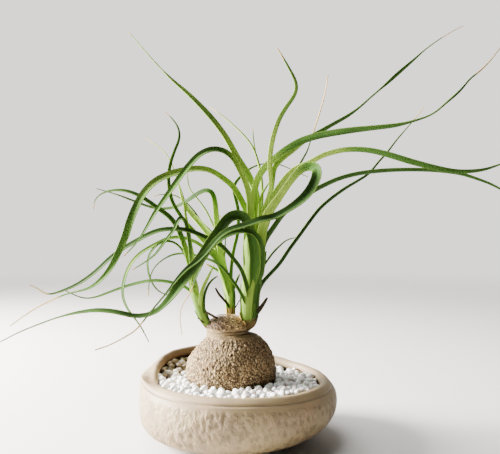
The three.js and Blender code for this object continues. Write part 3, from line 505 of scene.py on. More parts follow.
def makeBowl():
    def pole(end):
        return Vector((0, 0, end * bowl["floor"]))

    def placeRing(ring, way):
        r, z = bowlProfile(way)[ring]
        turn = math.radians(way)
        return Vector((r * math.cos(turn), r * math.sin(turn), z))

    piece = growRings("stonewareBowl", bowl["sides"], len(bowlProfile(0)), pole, placeRing)
    finishWith(piece, "SUBSURF", levels=bowl["smoothing"], render_levels=bowl["smoothing"])
    marks = {"pit": [], "grime": [], "beaten": [], "groove": [], "stain": []}
    size = Vector(bowl["dimple"])

    def hammered(p, normal):
        out = Vector((p.x, p.y, 0)).normalized()
        innerR, innerZ, outerR, outerZ, crease = rimAt(math.degrees(math.atan2(p.y, p.x)))
        # How far a spot belongs to the outer wall and to the inside; the flat middle is left plain
        upright, outward = p.length > bowl["flatMiddle"], normal.dot(out)
        wall = smooth((outward + 0.35) / 0.5) if upright else 0
        within = smooth((0.1 - outward) / 0.3) if upright else 1

        spot = Vector((p.x / size.x, p.y / size.y, p.z / size.z))
        spot += noise.noise_vector(spot * 0.7) * bowl["dimpleDrift"]
        dish = min(noise.voronoi(spot)[0][0] / bowl["dimpleWidth"], 1) ** 2
        beaten = wall * smooth((outerZ - bowl["plainUnderLip"] - p.z) / 4) * smooth(p.z / 9)
        strength = beaten * (0.55 + 0.75 * smooth(noise.noise(p / 24) + 0.6))
        wobble = noise.noise(p / 30) * bowl["wobble"] * smooth(p.z / 8)

        fromFold = math.hypot(p.x, p.y) - (innerR + outerR) / 2
        fold = max(0, crease) / bowl["foldDepth"] * math.exp(-((fromFold / bowl["foldWidth"]) ** 2))
        fold *= smooth(noise.noise(p / 2.2) + 0.55) * smooth((p.z - 50) / 6)
        # Painted shade on the inside and top of the raised rim at the back left
        raised = bowl["rimShadeStrength"] * smooth((innerZ - bowl["rimShadeAbove"]) / 8)
        raised *= smooth((0.7 - outward) / 0.7)
        # Painted shade along the groove under the lip
        groove = math.exp(-(((p.z - outerZ + 3) / 0.9) ** 2))
        # Painted shade on the inside of the undercut wall below the lip
        shadedBelowLip = within * smooth((innerZ - bowl["unshadedLip"] - p.z) / 1.6)
        marks["pit"].append((1 - dish) * strength)
        marks["grime"].append(max(fold, raised * smooth((p.z - 60) / 3)))
        marks["beaten"].append(beaten)
        marks["groove"].append(groove * smooth((outward + 0.1) / 0.4))
        marks["stain"].append(shadedBelowLip * smooth((p.z - 8) / 2))
        return ((dish - 0.55) * bowl["dimpleDepth"] * strength + wobble) * smooth(p.z / 2)

    pushOut(piece, hammered)
    paint(piece, **marks)
    rounded(piece)
    dress(piece, "bowl", "bowl", stonewareFinish())


# The swollen trunk

trunk = {
    "centre": (-7.5, 0), "sides": 44, "smoothing": 3, "unevenness": 0.5,
    # The bark's plates are longer from "tallFrom" up
    "relief": 0.7, "crackDepth": 0.9, "crackWidth": 0.26, "cell": (2.8, 2.8, 3.3), "upperCell": 8,
    "tallFrom": 68, "plateDrift": 0.55,
    # Heights between which there is bark and then the ringed neck, and from which the cut is torn
    "barkFrom": 50, "barkTo": 97, "neckFrom": 98, "neckTo": 105.5, "cutFrom": 106.5,
    "ringDepth": 0.3, "neckCrease": {"height": 103, "width": 0.8, "depth": 0.9}, "tearing": 1.5,
    "hollow": (-17, 2, 118), "hollowReach": 7, "hollowDepth": 3.4,
    "seed": 11, "fibreCount": 260, "fibreThickness": 0.3, "fibreSteps": 6, "fibreLength": (5, 15),
    "fibreSpread": 20.5, "fibreTop": 119.7, "swirl": 1.4, "swirlShare": 0.75,
    "cutShift": -4.4, "cutEdge": 21.5, "cutDrop": 11,
    # Height, radius and sideways shift of each level
    "levels": [
        (26, 13, 0), (31, 26.5, 0), (40, 36.5, 0), (50, 42.3, 0), (57, 44.1, 0), (63, 44.9, 0),
        (69, 44.9, 0), (75, 43.8, 0), (80, 41.9, 0.3), (85, 39, 0.9), (89.5, 35.6, 1.5), (93.5, 32, 2),
        (97, 28, 2.4), (100, 25.6, 0.6), (102, 23, -2), (104, 21.2, -4), (106.3, 20.2, -4.4),
        (108.7, 21.3, -4.4), (111.5, 20.4, -4.4), (114.6, 17.6, -4.4), (117.6, 12.5, -4.2),
    ],
    "topHeight": 119.6, "topShift": -4,
}


def trunkAxis(shift, z):
    return Vector((trunk["centre"][0] + shift, trunk["centre"][1], z))


def makeTrunk():
    def pole(end):
        return trunkAxis(trunk["topShift"], trunk["topHeight"]) if end else trunkAxis(0, 25)

    def placeRing(ring, way):
        z, r, shift = trunk["levels"][ring]
        turn = math.radians(way)
        return trunkAxis(shift, z) + Vector((r * math.cos(turn), r * math.sin(turn), 0))

    piece = growRings("swollenTrunk", trunk["sides"], len(trunk["levels"]), pole, placeRing)
    finishWith(piece, "SUBSURF", levels=trunk["smoothing"], render_levels=trunk["smoothing"])
    marks = {"crack": [], "collar": [], "cutTop": [], "hollow": []}
    hollow, neckCrease = Vector(trunk["hollow"]), trunk["neckCrease"]
    cell, tallFrom = Vector(trunk["cell"]), trunk["tallFrom"]

    def weathered(p, normal):
        rise = p.z / cell.z if p.z < tallFrom else tallFrom / cell.z + (p.z - tallFrom) / trunk["upperCell"]
        spot = Vector((p.x / cell.x, p.y / cell.y, rise))
        spot += noise.noise_vector(spot * 0.45) * trunk["plateDrift"]
        nearest, second = noise.voronoi(spot)[0][:2]
        edge = second - nearest
        bark = smooth((p.z - trunk["barkFrom"]) / 4) * (1 - smooth((p.z - trunk["barkTo"]) / 4) * 0.9)
        collar = smooth((p.z - trunk["neckFrom"]) / 3) * (1 - smooth((p.z - trunk["neckTo"]) / 3))
        top = smooth((p.z - trunk["cutFrom"]) / 2.5)
        crack = 1 - smooth(edge / trunk["crackWidth"])
        crack *= 0.45 + 0.55 * smooth(noise.noise(spot * 0.6) + 0.6)
        sunk = top * math.exp(-(((p - hollow).length / trunk["hollowReach"]) ** 2))
        rings = math.sin(p.z * 2.4 + noise.noise(p / 9) * 3) * trunk["ringDepth"]
        pinch = math.exp(-(((p.z - neckCrease["height"]) / neckCrease["width"]) ** 2))
        rings -= pinch * neckCrease["depth"]
        torn = noise.noise(Vector((p.x / 2.4, p.y / 2.4, p.z / 1.2))) * trunk["tearing"]
        move = bark * (trunk["relief"] * (smooth(edge / 0.6) - 0.5) - trunk["crackDepth"] * crack * 0.7)
        lumps = noise.noise(p / 11) * trunk["unevenness"] * smooth((p.z - trunk["barkFrom"]) / 6)
        move += collar * rings + top * torn + lumps
        marks["crack"].append(crack * bark)
        marks["collar"].append(collar)
        marks["cutTop"].append(top)
        marks["hollow"].append(sunk * 0.8)
        return move - sunk * trunk["hollowDepth"]

    pushOut(piece, weathered)
    paint(piece, **marks)
    rounded(piece, 80)
    fibres = makeFibres()
    piece.data.materials.append(barkFinish())
    fibres.data.materials.append(fibreFinish())
    whole = joined("swollenTrunk", [piece, fibres])
    dress(whole, "caudex", "caudex")


def makeFibres():
    # Dry fibres that lie round the old cut, and short ones that stand off its edge
    draw = random.Random(trunk["seed"])
    deselectAll()
    curve = bpy.data.curves.new("dryFibres", "CURVE")
    curve.dimensions = "3D"
    curve.bevel_depth = trunk["fibreThickness"] * mm
    curve.bevel_resolution = 0
    middle, steps, cutEdge = trunkAxis(trunk["cutShift"], 0), trunk["fibreSteps"], trunk["cutEdge"]
    for count in range(trunk["fibreCount"]):
        way = draw.uniform(0, 2 * math.pi)
        reach = trunk["fibreSpread"] * math.sqrt(draw.uniform(0.03, 1))
        drift = draw.uniform(-1, 1)
        swirl = draw.uniform(-trunk["swirl"], trunk["swirl"]) if draw.random() < trunk["swirlShare"] else 0
        length = draw.uniform(*trunk["fibreLength"])
        spline = curve.splines.new("POLY")
        spline.points.add(steps)
        for step, point in enumerate(spline.points):
            t = step / steps
            angle = way + swirl * t * length / 14
            radius = reach + drift * 2.5 * t + (0 if swirl else length * 0.25 * t)
            dome = trunk["fibreTop"] - trunk["cutDrop"] * (min(radius, cutEdge) / cutEdge) ** 3
            height = dome + 0.5 + draw.uniform(-0.25, 0.25) + 1.8 * t * (1 - t) * draw.uniform(0, 1)
            place = middle + Vector((radius * math.cos(angle), radius * math.sin(angle), height))
            point.co = (*(place * mm), 1)
            point.radius = 1 - 0.7 * abs(step * 2 / steps - 1) ** 2  # thinner at both ends
    piece = bpy.data.objects.new("dryFibres", curve)
    bpy.context.scene.collection.objects.link(piece)
    pick(piece)
    bpy.ops.object.convert(target="MESH")
    return bpy.context.object


# The pebbles

gravel = {
    "seed": 5, "kinds": 6, "smallest": 2.8, "largest": 4.7, "tries": 5200, "layers": [52.6, 56.4],
    "reach": 85, "trunkRadius": 44.6, "wallRadius": 80.5,
    # How close a stone may come to another, to the trunk and to the wall, as shares of its size
    "closeness": 0.84, "nearTrunk": 0.55, "nearWall": 0.8,
    "tilt": 0.5, "lean": 0.4, "looseness": (-0.6, 0.7), "dirtyAndShadedFrom": -30, "bedFloor": 45.6, "bedTop": 52,
    # Heaped at the back left and lower on the right: which way, from how far out, over what distance
    # and by how much
    "slopes": [((-0.6, 0.8), 30, 45, 8.5), ((0.9, 0.44), 25, 40, -3.5)],
}


def gravelRise(x, y):
    slopes = gravel["slopes"]
    return sum(rise * smooth((way[0] * x + way[1] * y - start) / over) for way, start, over, rise in slopes)


def wallAt(way):
    lift = rimAt(way)[1] - bowl["frontRim"]
    return gravel["wallRadius"] + max(0, lift) * 0.22


def makeStones():
    # A few kinds of rounded stone about one millimetre in radius, each longer, flatter or lumpier
    kinds = []
    for kind in range(gravel["kinds"]):
        deselectAll()
        bpy.ops.mesh.primitive_ico_sphere_add(subdivisions=2, radius=1)
        stone = bpy.context.object
        shape = Vector((1.08, 0.92 - 0.04 * kind, 0.72 + 0.05 * (kind % 3)))
        for vertex in stone.data.vertices:
            bump = 1 + 0.3 * noise.noise(vertex.co * 0.9 + Vector((kind * 7.3, 0, 0)))
            bump += 0.16 * noise.noise(vertex.co * 2 + Vector((0, kind * 5.1, 0)))
            vertex.co = Vector([a * b for a, b in zip(vertex.co, shape)]) * bump
        kinds.append(stone)
    return kinds


def scatter(draw):
    # Where one layer's stones lie and how big they are, clear of the trunk, the wall and one another
    centre, taken = Vector(trunk["centre"]), []
    for attempt in range(gravel["tries"]):
        size = between(gravel["smallest"], gravel["largest"], draw.random() ** 1.3)
        way, reach = draw.uniform(0, 360), gravel["reach"] * math.sqrt(draw.random())
        spot = Vector((reach * math.cos(math.radians(way)), reach * math.sin(math.radians(way))))
        if (spot - centre).length < gravel["trunkRadius"] + size * gravel["nearTrunk"]:
            continue
        if reach > wallAt(way) - size * gravel["nearWall"]:
            continue
        if any((spot - other).length < (size + big) * gravel["closeness"] for other, big in taken):
            continue
        taken.append((spot, size))
    return taken


def layStone(draw, source, spot, size, height):
    stone = source.copy()
    stone.data = source.data.copy()
    bpy.context.scene.collection.objects.link(stone)
    turn = Matrix.Rotation(draw.uniform(0, 6.28), 4, "Z")
    turn = turn @ Matrix.Rotation(draw.uniform(-gravel["tilt"], gravel["tilt"]), 4, "X")
    turn = turn @ Matrix.Rotation(draw.uniform(-gravel["lean"], gravel["lean"]), 4, "Y")
    rise = gravelRise(*spot)
    z = height + draw.uniform(*gravel["looseness"]) + 0.25 * (size - gravel["smallest"]) + rise
    place = Matrix.Translation((spot.x * mm, spot.y * mm, z * mm))
    stone.data.transform(place @ turn @ Matrix.Scale(size * mm, 4))
    # Stones heaped up on the left are mostly tan or mossy, partly dirt and partly painted shade under the
    # raised rim, and the lower layer's are greyer on the whole, painted shade in the gaps between the upper
    # stones
    dirtyAndShaded = spot.x < gravel["dirtyAndShadedFrom"] and rise > draw.uniform(1.5, 5)
    shade = draw.uniform(0.3 if height == gravel["layers"][0] else 0, 0.95)
    paint(stone, stoneTone=[0.94 + shade * 0.05 if dirtyAndShaded else shade] * len(stone.data.vertices))
    return stone


def makePebbles():
    draw = random.Random(gravel["seed"])
    kinds = makeStones()
    pieces = []
    for height in gravel["layers"]:
        for spot, size in scatter(draw):
            pieces.append(layStone(draw, draw.choice(kinds), spot, size, height))
    for kind in kinds:
        bpy.data.objects.remove(kind)
    stones = joined("whitePebbles", pieces)
    rounded(stones, 70)
    stones.data.materials.append(pebbleFinish())

    bed = growRings("gritBed", 64, 5, bedPole, bedRing)
    finishWith(bed, "SUBSURF", levels=2, render_levels=2)
    for vertex in bed.data.vertices:
        vertex.co.z += noise.noise(vertex.co / (3 * mm)) * 0.6 * mm
    rounded(bed)
    bed.data.materials.append(soilFinish("darkGrit"))
    whole = joined("whitePebbles", [stones, bed])
    dress(whole, "gravel", "gravel")
    print(len(pieces), "pebbles")


def bedPole(end):
    return Vector((0, 0, gravel["bedTop"] if end else gravel["bedFloor"]))


def bedRing(ring, way):
    low, top = gravel["bedFloor"], gravel["bedTop"]
    r, z = [(60, low), (86, 46), (85, top - 1.5), (74, top), (60, top)][ring]
    x, y = r * math.cos(math.radians(way)), r * math.sin(math.radians(way))
    return Vector((x, y, z + (gravelRise(x, y) if ring > 1 else 0)))


# The leafy shoots

# Stems: across, up, behind and radius of each point, as seen from the front
stems = {
    "large": [
        [2.5, 105.5, 0.5, 2.6], [6.2, 109.5, 0, 5.2], [9, 114, -1, 7.2], [10, 120, -3, 8],
        [11, 138, -5, 8.2], [13, 155, -4, 8.4], [14.5, 172, -3, 9.6], [15, 190, -3, 10.4],
        [16, 203, -2, 9], [18, 213, -2, 4.5],
    ],
    "middle": [
        [-9.4, 106, 9.5, 2.4], [-9, 112, 11, 4], [-8.8, 121, 12, 4.2], [-8.8, 130, 12, 4.2],
        [-9, 140, 12, 4.4], [-11, 150, 12, 4.8], [-14.5, 160, 12, 4.8], [-19, 170, 12, 3.2],
        [-22, 177, 12, 1.6],
    ],
    "left": [
        [-26.5, 103.5, -1, 1.8], [-28.8, 107.5, -1.5, 2.8], [-32.2, 112, -3, 3.4], [-36.4, 120, -6, 3.7],
        [-41, 133, -10, 3.8], [-45, 146, -10, 3.8], [-47.5, 160, -10, 3.4], [-49, 170, -9, 2.2],
    ],
}

# Leaves: name, full width, the share of its length where the green blade has narrowed to a thread, how
# far its face is turned from the viewer along it, and its midrib's points: across, up, behind
leaves = {
    "large": [
        ["long upper left", 8, 0.8, [30, 35, 40, 40, 40], [
            [14, 168, 0], [16.5, 200, 5], [18, 221, 7], [17, 238, 10], [13, 251, 13], [7, 263, 16],
            [-1, 275, 20], [-14, 298, 27], [-29, 318, 34], [-49, 339, 42], [-69, 357, 50], [-89, 378, 58],
            [-110, 403, 66],
        ]],
        ["high arch left", 7.5, 0.92, [40, 40, 45, 50, 40, 40, 50], [
            [11, 168, -4], [10, 198, -9], [10, 228, -11], [8, 245, -14], [4, 257, -18], [-1, 267, -22],
            [-7, 277, -26], [-16, 283.5, -32], [-27, 285, -38], [-39, 280, -44], [-49, 270, -49],
            [-59, 257, -54], [-69, 243, -58], [-84, 222, -63], [-92, 208, -65], [-99, 197, -67],
            [-106, 188, -68], [-115, 179, -69],
        ]],
        ["low arch left", 8.5, 0.82, [30, 45, 55, 40, 10, 60, 70], [
            [9, 150, -3], [6, 185, -3], [7.5, 212, -4], [7, 223, -5], [4, 229, -7], [-1, 239, -9],
            [-7, 248, -12], [-14, 254, -15], [-29, 263.5, -20], [-42, 265.5, -24], [-54, 264, -28],
            [-69, 260, -34], [-82, 254, -40], [-92, 245, -46], [-99, 235, -51], [-104, 225, -55],
            [-109, 213, -58], [-113, 200, -60], [-118, 188, -61], [-123, 177, -62], [-131, 163, -62],
            [-147, 148, -62], [-175, 140, -60], [-191, 133, -58], [-206, 125, -56], [-229, 109, -54],
        ]],
        ["far left sweep", 5.5, 0.92, [50, 50, 45, 45, 45, 40, 50], [
            [10, 134, -8], [6, 150, -13], [4, 158, -15], [1, 166, -17], [-3, 172, -19], [-8, 178, -21],
            [-13, 184, -23], [-18, 189, -25], [-29, 195, -28], [-41, 200.5, -31], [-52, 204.5, -33],
            [-64, 205.5, -34], [-79, 204.5, -34], [-91, 200, -34], [-101, 194.5, -33], [-111, 189, -32],
            [-127, 178, -31], [-144, 162.5, -29], [-159, 152, -28], [-174, 145, -27], [-192, 140.5, -26],
            [-201, 146, -24], [-209, 150, -23],
        ]],
        ["low loop left", 4, 0.75, [40, 50, 55, 60, 60], [
            [8, 128, -7], [2, 140, -12], [-1, 146, -13], [-6, 153, -14], [-10, 159, -15], [-14, 164, -15],
            [-19, 169, -13], [-25, 173, -10], [-30, 175, -7], [-39, 178, -1], [-49, 180.5, 4],
            [-61, 181, 8], [-69, 179, 5], [-79, 173, 0], [-86, 165, -6], [-89.5, 155, -9],
            [-90.5, 139, -10],
        ]],
        ["knee front left", 10, 0.8, [20, 20, 10, 15, 65, 55, 60, 60], [
            [13, 148, -9], [15, 173, -14], [13, 192, -16], [10, 206, -19], [6, 216.5, -23],
            [1, 219.5, -27], [-5, 219.5, -31], [-10, 217, -34], [-15, 211.5, -37], [-19, 205, -40],
            [-24, 198, -43], [-29, 190.5, -46], [-33, 184, -48], [-39, 175, -52], [-47, 165, -57],
            [-55, 155, -62], [-62, 145, -66], [-69, 135, -69], [-79, 124.5, -73], [-87, 120, -76],
            [-95, 118, -78], [-104, 117.5, -79], [-119, 121, -80], [-129, 123, -79], [-142, 124, -78],
            [-154, 123, -76], [-169, 120.5, -74], [-184, 116.5, -72], [-199, 111, -70], [-219, 103, -68],
            [-239, 93, -66], [-252, 87, -64],
        ]],
        ["folded right", 9.5, 0.82, [25, 20, 50, 15, 50, 55, 45, 50, 60], [
            [17, 158, -5], [20, 190, -8], [24, 211, -10], [29, 223, -12], [37, 235, -14], [45, 247, -17],
            [53, 258, -20], [60, 265.5, -23], [66, 269, -26], [72, 269.5, -30], [78, 267, -34],
            [78, 259, -39], [74, 249, -43], [68, 240, -47], [61, 233, -50], [53, 227, -52],
            [44, 221.5, -54], [33, 216.5, -56], [23, 215, -58], [13, 211.5, -59], [4, 208.5, -60],
            [-7, 205.5, -61], [-14, 202, -62], [-23, 194, -64], [-31, 184, -66], [-42, 173, -70],
            [-51, 167, -73], [-57, 161, -76], [-63, 154, -79], [-69, 146, -82], [-79, 134, -86],
            [-89, 122, -90], [-97, 112, -92], [-104, 104, -93], [-114, 98, -94], [-129, 90, -94],
            [-144, 85, -94],
        ]],
        ["arch over stem", 7, 0.75, [30, 45, 50, 50, 50, 60], [
            [18, 152, -8], [22, 172, -12], [23, 185, -14], [21, 192, -17], [18, 198, -20], [13, 202, -23],
            [7, 203.5, -26], [1, 203, -29], [-7, 201, -32], [-14, 198, -34], [-22, 192, -36],
            [-29, 185, -38], [-34, 178, -40], [-37, 170, -42], [-41, 162, -44], [-44, 155, -45],
            [-46, 148, -46], [-51, 138, -47], [-55, 133, -47], [-58, 126, -47], [-59, 117, -47],
            [-58, 107, -46], [-57, 100, -45],
        ]],
        ["long right", 7.5, 0.87, [40, 45, 30, 25, 30, 50, 85, 35, 50], [
            [16, 168, -3], [16.5, 200, 0], [15.5, 221, 1], [16, 244, 2], [21, 260, 1], [29, 270, -2],
            [36, 276, -5], [46, 284, -9], [61, 293, -14], [76, 298, -19], [91, 301, -24], [111, 304, -30],
            [141, 307, -37], [161, 309.5, -40], [176, 313.5, -42], [191, 319, -43], [199, 324, -44],
            [208, 332, -44], [216, 339, -44], [223, 346, -43], [231, 356, -42], [241, 364, -41],
            [251, 374, -40], [261, 387, -39],
        ]],
        ["high right", 6.5, 0.86, [45, 40, 38, 40, 55, 85, 30, 60, 60], [
            [17, 170, 1], [22, 200, 7], [27, 224, 9], [32, 240, 11], [34, 255, 13], [36, 267, 15],
            [40, 272.5, 16], [46, 278, 17], [54, 284, 20], [66, 294, 23], [81, 302.5, 27], [96, 311, 31],
            [111, 319.5, 36], [121, 327, 39], [133, 338, 43], [146, 349, 47], [161, 363, 52],
            [176, 376, 57], [186, 385, 60], [201, 396, 64], [216, 405, 68], [224, 409, 70],
        ]],
        ["wavy right", 7, 0.92, [40, 45, 50, 45, 20, 25, 60], [
            [18, 168, -3], [24, 200, -2], [26, 220, -1], [33, 235, 1], [42, 250, 2], [53, 263, 1],
            [61, 268, -1], [70, 271, -4], [76, 274.5, -6], [86, 279.5, -9], [96, 282.5, -12],
            [106, 284.5, -15], [126, 284.5, -19], [141, 282, -22], [156, 278, -25], [171, 273.5, -27],
            [186, 269.5, -29], [201, 266, -30], [216, 263.5, -30], [231, 263.5, -30], [246, 265.5, -29],
            [261, 270.5, -28], [288, 281, -26],
        ]],
        ["level right", 6.5, 0.95, [45, 40, 45, 50, 50, 45, 45], [
            [17, 146, -2], [22.5, 165, 2], [24, 183, 4], [26, 192, 5], [30, 200, 6], [35, 207, 8],
            [41, 216, 9], [51, 227, 11], [61, 235, 13], [72, 242, 15], [86, 249.5, 17], [101, 256, 19],
            [116, 260, 20], [136, 263, 22], [161, 264.5, 23], [186, 264.5, 24], [206, 263, 24],
            [223, 260.5, 24], [236, 256.5, 24], [251, 251, 24], [261, 246, 24], [289, 231, 24],
        ]],
        ["straight low right", 5, 0.9, [45, 45, 45, 60, 60], [
            [14, 122, -3], [21, 145, 6], [25, 153, 10], [31, 160, 15], [41, 171, 22], [51, 186, 30],
            [57, 194, 35], [65, 205, 41], [73, 216, 47], [81, 226, 52], [91, 235, 57], [106, 246, 64],
            [121, 255, 70], [130, 261, 74], [141, 274, 79], [149, 283, 83], [158, 295, 88],
            [169, 308, 93], [179, 320, 97], [185, 328, 100],
        ]],
        ["short low right", 3, 0.9, [40, 50, 60], [
            [15, 136, -1], [20, 152, 9], [23, 163, 15], [25, 169, 18], [29, 175, 23], [35, 183, 30],
            [41, 189, 37], [46, 193.5, 43], [51, 196, 48], [58, 197.5, 54],
        ]],
        ["dry tipped right", 3.6, 0.6, [40, 45, 60, 60], [
            [17, 178, 2], [23, 205, 14], [31, 230, 21], [44, 248, 27], [54, 263, 36], [60, 270, 42],
            [64, 277, 47], [68, 284, 52], [71, 293, 58], [74, 302, 63], [80, 320, 72], [85, 337, 80],
            [89, 360, 90],
        ]],
        ["upright", 5.5, 0.95, [30, 35, 35, 40, 50], [
            [17, 180, -4], [21, 208, -6], [25, 223, -8], [28, 232, -10], [31, 240, -12], [33, 250, -15],
            [32, 260, -18], [31.5, 275, -23], [33, 290, -28], [36, 302, -32], [40, 314, -36],
            [46, 325, -40], [53, 335, -44], [57.5, 343, -47], [57.7, 352, -50], [51, 366, -54],
            [44, 378, -58], [38, 387, -61],
        ]],
        ["short light", 3.4, 0.95, [40, 50], [
            [18, 190, -2], [20.5, 215, -2], [21, 230, 1], [23, 240, 4], [27, 247, 8], [31, 254, 10],
        ]],
        ["thin upper back", 3, 0.9, [40, 50, 60], [
            [14, 183, 2], [19, 210, 12], [23, 233, 23], [23, 247, 31], [22, 260, 40], [19, 273, 50],
            [14, 287, 61], [6, 298, 71], [-4, 308, 81], [-14, 317, 90], [-29, 328, 101],
        ]],
        ["thread upper back", 2, 0.9, [50, 50, 60], [
            [12, 186, 1], [17, 212, 15], [22, 240, 29], [21, 260, 42], [18, 275, 54], [15, 290, 66],
            [13.5, 307, 80],
        ]],
        ["back arch", 6.5, 0.95, [20, 20, 20, 20], [
            [13, 184, 3], [13, 215, 17], [13, 233, 30], [13, 245, 52], [12.5, 249, 80], [12.5, 246, 112],
            [13, 237, 146], [14, 226, 176], [15, 212, 200],
        ]],
        ["back right rise", 6, 0.95, [30, 30, 30, 30], [
            [18, 176, 2], [26, 207, 12], [33, 226, 24], [41, 240, 40], [49, 252, 60], [56, 261, 84],
            [62, 266, 108], [66, 268, 128],
        ]],
        ["low back arch", 5, 0.95, [10, 10, 10], [
            [12, 156, 0], [11, 180, 18], [11, 192, 40], [10, 196, 68], [8, 190, 98], [6, 176, 124],
            [5, 158, 144],
        ]],
        ["dry stub right", 4.6, 1, [40, 40], [
            [12, 113, -2], [17, 120, -7], [21, 126.5, -10], [25, 132, -12], [28.5, 137.5, -12],
        ]],
        ["dry scale right", 3, 1, [40, 40], [
            [11, 110, -2], [15.5, 113.5, -7], [19, 119.5, -10],
        ]],
    ],
    "middle": [
        ["tall bent back", 5, 0.75, [50, 50, 45, 60, 60], [
            [-8, 138, 12], [-7, 152, 15], [-7, 165, 18], [-6, 177, 21], [-4, 188, 24], [-1, 200, 28],
            [0, 213, 32], [0, 222, 35], [-1, 229, 38], [-3, 237, 41], [-5, 247, 45], [-1, 255, 50],
            [4, 260, 54], [8, 264, 57], [13, 267, 60], [20, 270, 65], [28, 271.5, 69], [35, 271.5, 73],
            [43, 269.5, 77], [50, 266.5, 80], [55, 264.5, 82], [62, 261, 85], [69, 258, 88],
        ]],
        ["folded middle", 6.4, 0.92, [10, 15, 45, 62, 62, 65], [
            [-13, 152, 12], [-18, 178, 13], [-21.5, 205, 12], [-22.5, 212, 11], [-23.5, 222, 10],
            [-24.5, 232, 9], [-26, 239, 9], [-28, 243.5, 9], [-34, 244, 11], [-38, 242.5, 13],
            [-43, 239.5, 16], [-49, 235.5, 19], [-55, 231.5, 22], [-61, 228.5, 25], [-67, 226.5, 28],
            [-79, 225.5, 32], [-91, 228, 35], [-104, 233, 38], [-119, 239, 40], [-131, 243, 42],
            [-143, 246.5, 43],
        ]],
        ["dark back left", 3, 0.9, [45, 50, 60], [
            [-12, 150, 13], [-15, 173, 19], [-25, 199, 28], [-33, 208, 33], [-38, 212.5, 37],
            [-42, 219, 41], [-46, 224.5, 45], [-50, 229, 48], [-54, 233, 51], [-58, 236, 54],
            [-62, 238.5, 56], [-67, 240, 58], [-77, 240.5, 61], [-85, 239, 63],
        ]],
        ["thin back", 2.6, 0.9, [45, 50, 60], [
            [-15, 157, 13], [-18, 185, 19], [-24, 205, 27], [-27, 212, 31], [-30, 218, 35],
            [-33, 224, 40], [-37, 230, 45], [-41, 235, 50], [-45, 240, 55], [-49, 245, 60],
            [-51, 252, 66], [-52, 263, 74],
        ]],
        ["broad back left", 6.5, 0.62, [20, 15, 30, 55, 60], [
            [-12, 148, 10], [-18, 176, 12], [-27, 197, 15], [-32, 203, 17], [-37, 209, 20],
            [-43, 216, 23], [-48, 221, 26], [-52, 226, 29], [-55, 230, 31], [-57, 238, 34],
            [-61, 252, 40], [-66, 267, 47], [-71, 278, 53], [-79, 287, 59], [-93, 297, 68],
        ]],
        ["tall hooked left", 5.5, 0.95, [30, 40, 50, 50, 50, 60], [
            [-10.5, 142, 10], [-18, 167, 7], [-24, 180, 6], [-31, 189, 7], [-38, 196, 8], [-44, 202, 9],
            [-50, 208, 10], [-56, 215, 11], [-63, 225, 12], [-68, 235, 14], [-70.5, 248, 17],
            [-71, 260, 20], [-69, 272, 23], [-65, 284, 26], [-60, 297, 29], [-61, 307, 32],
            [-66, 315, 34], [-74, 323, 37],
        ]],
        ["wide loop left", 4.5, 0.9, [30, 40, 45, 50, 50, 55], [
            [-10, 140, 9], [-16, 160, 3], [-27, 180, -1], [-33, 185, -1], [-37, 188, 0], [-42, 192, 1],
            [-47, 194, 2], [-52, 196, 2], [-59, 197.5, 2], [-67, 197, 1], [-74, 195, -1],
            [-87, 188.5, -4], [-99, 181, -9], [-108, 171, -15], [-113, 160, -20], [-116, 147, -25],
            [-115, 135, -30], [-109, 123, -35], [-99, 110, -40], [-90, 93, -44],
        ]],
        ["short middle", 3.6, 1, [30, 40], [
            [-10, 138, 10], [-15, 155, 14], [-19, 163, 16], [-26, 167, 18], [-33, 171, 20],
        ]],
        ["dry spike left", 2.8, 1, [45, 45], [
            [-7.5, 124, 11], [-12, 132, 6], [-17, 137, 4], [-21, 142, 2], [-23.5, 147, 0],
        ]],
        ["dry spike right", 2.6, 1, [45, 45], [
            [-7, 120, 12], [-3, 128, 13], [1, 135, 13],
        ]],
        ["short back", 3, 1, [40, 40], [
            [-8, 136, 12], [-4, 151, 19], [0.5, 161, 22],
        ]],
        ["curled thread", 1.6, 0.9, [50, 50], [
            [-16, 160, 12], [-14, 188, 20], [-14, 205, 24], [-16, 216, 26], [-21, 220, 28],
        ]],
        ["back arch", 4.5, 0.95, [20, 20, 20], [
            [-12, 146, 14], [-15, 172, 30], [-18, 188, 52], [-21, 195, 80], [-24, 192, 110],
            [-26, 180, 136],
        ]],
    ],
    "left": [
        ["upright light", 4.6, 0.8, [20, 30, 50, 60], [
            [-41, 134, -10], [-45, 152, -9], [-46, 167, -8], [-47, 180, -8], [-49, 190, -8],
            [-51, 205, -8], [-53, 215, -7], [-56, 236, -3], [-58, 245, -1], [-60, 251, 1], [-63, 256, 3],
        ]],
        ["drooping tip left", 6, 0.88, [20, 30, 40, 45, 50, 60], [
            [-42, 137, -11], [-46, 153, -13], [-49, 167, -14], [-53, 183, -15], [-57, 195, -16],
            [-62, 207, -17], [-69, 217, -18], [-81, 226, -18], [-92, 234, -18], [-102, 240, -18],
            [-114, 244, -17], [-126, 244.5, -15], [-136, 242, -14], [-142, 238, -13], [-145, 232, -12],
            [-145.5, 226, -11],
        ]],
        ["folded left", 4.2, 0.9, [20, 30, 40, 50, 60], [
            [-43, 140, -10], [-46, 156, -15], [-48, 170, -19], [-49, 185, -22], [-51, 200, -26],
            [-54, 213, -31], [-58, 218, -36], [-62, 212, -42], [-64, 206, -46], [-68, 201, -49],
            [-74, 193, -51], [-84, 180, -52], [-95, 172, -51], [-107, 165, -49],
        ]],
        ["thin curl left", 2.8, 0.9, [40, 50, 50, 60], [
            [-42, 138, -9], [-47, 158, -5], [-51, 171, -5], [-57, 185, -9], [-66, 193, -13],
            [-76, 193, -17], [-86, 186, -20], [-91, 176, -21], [-91, 167, -21], [-88, 155, -21],
            [-82, 145.5, -21], [-75, 141, -20], [-68, 139.5, -19],
        ]],
        ["level left", 4, 0.85, [40, 45, 45, 50, 60], [
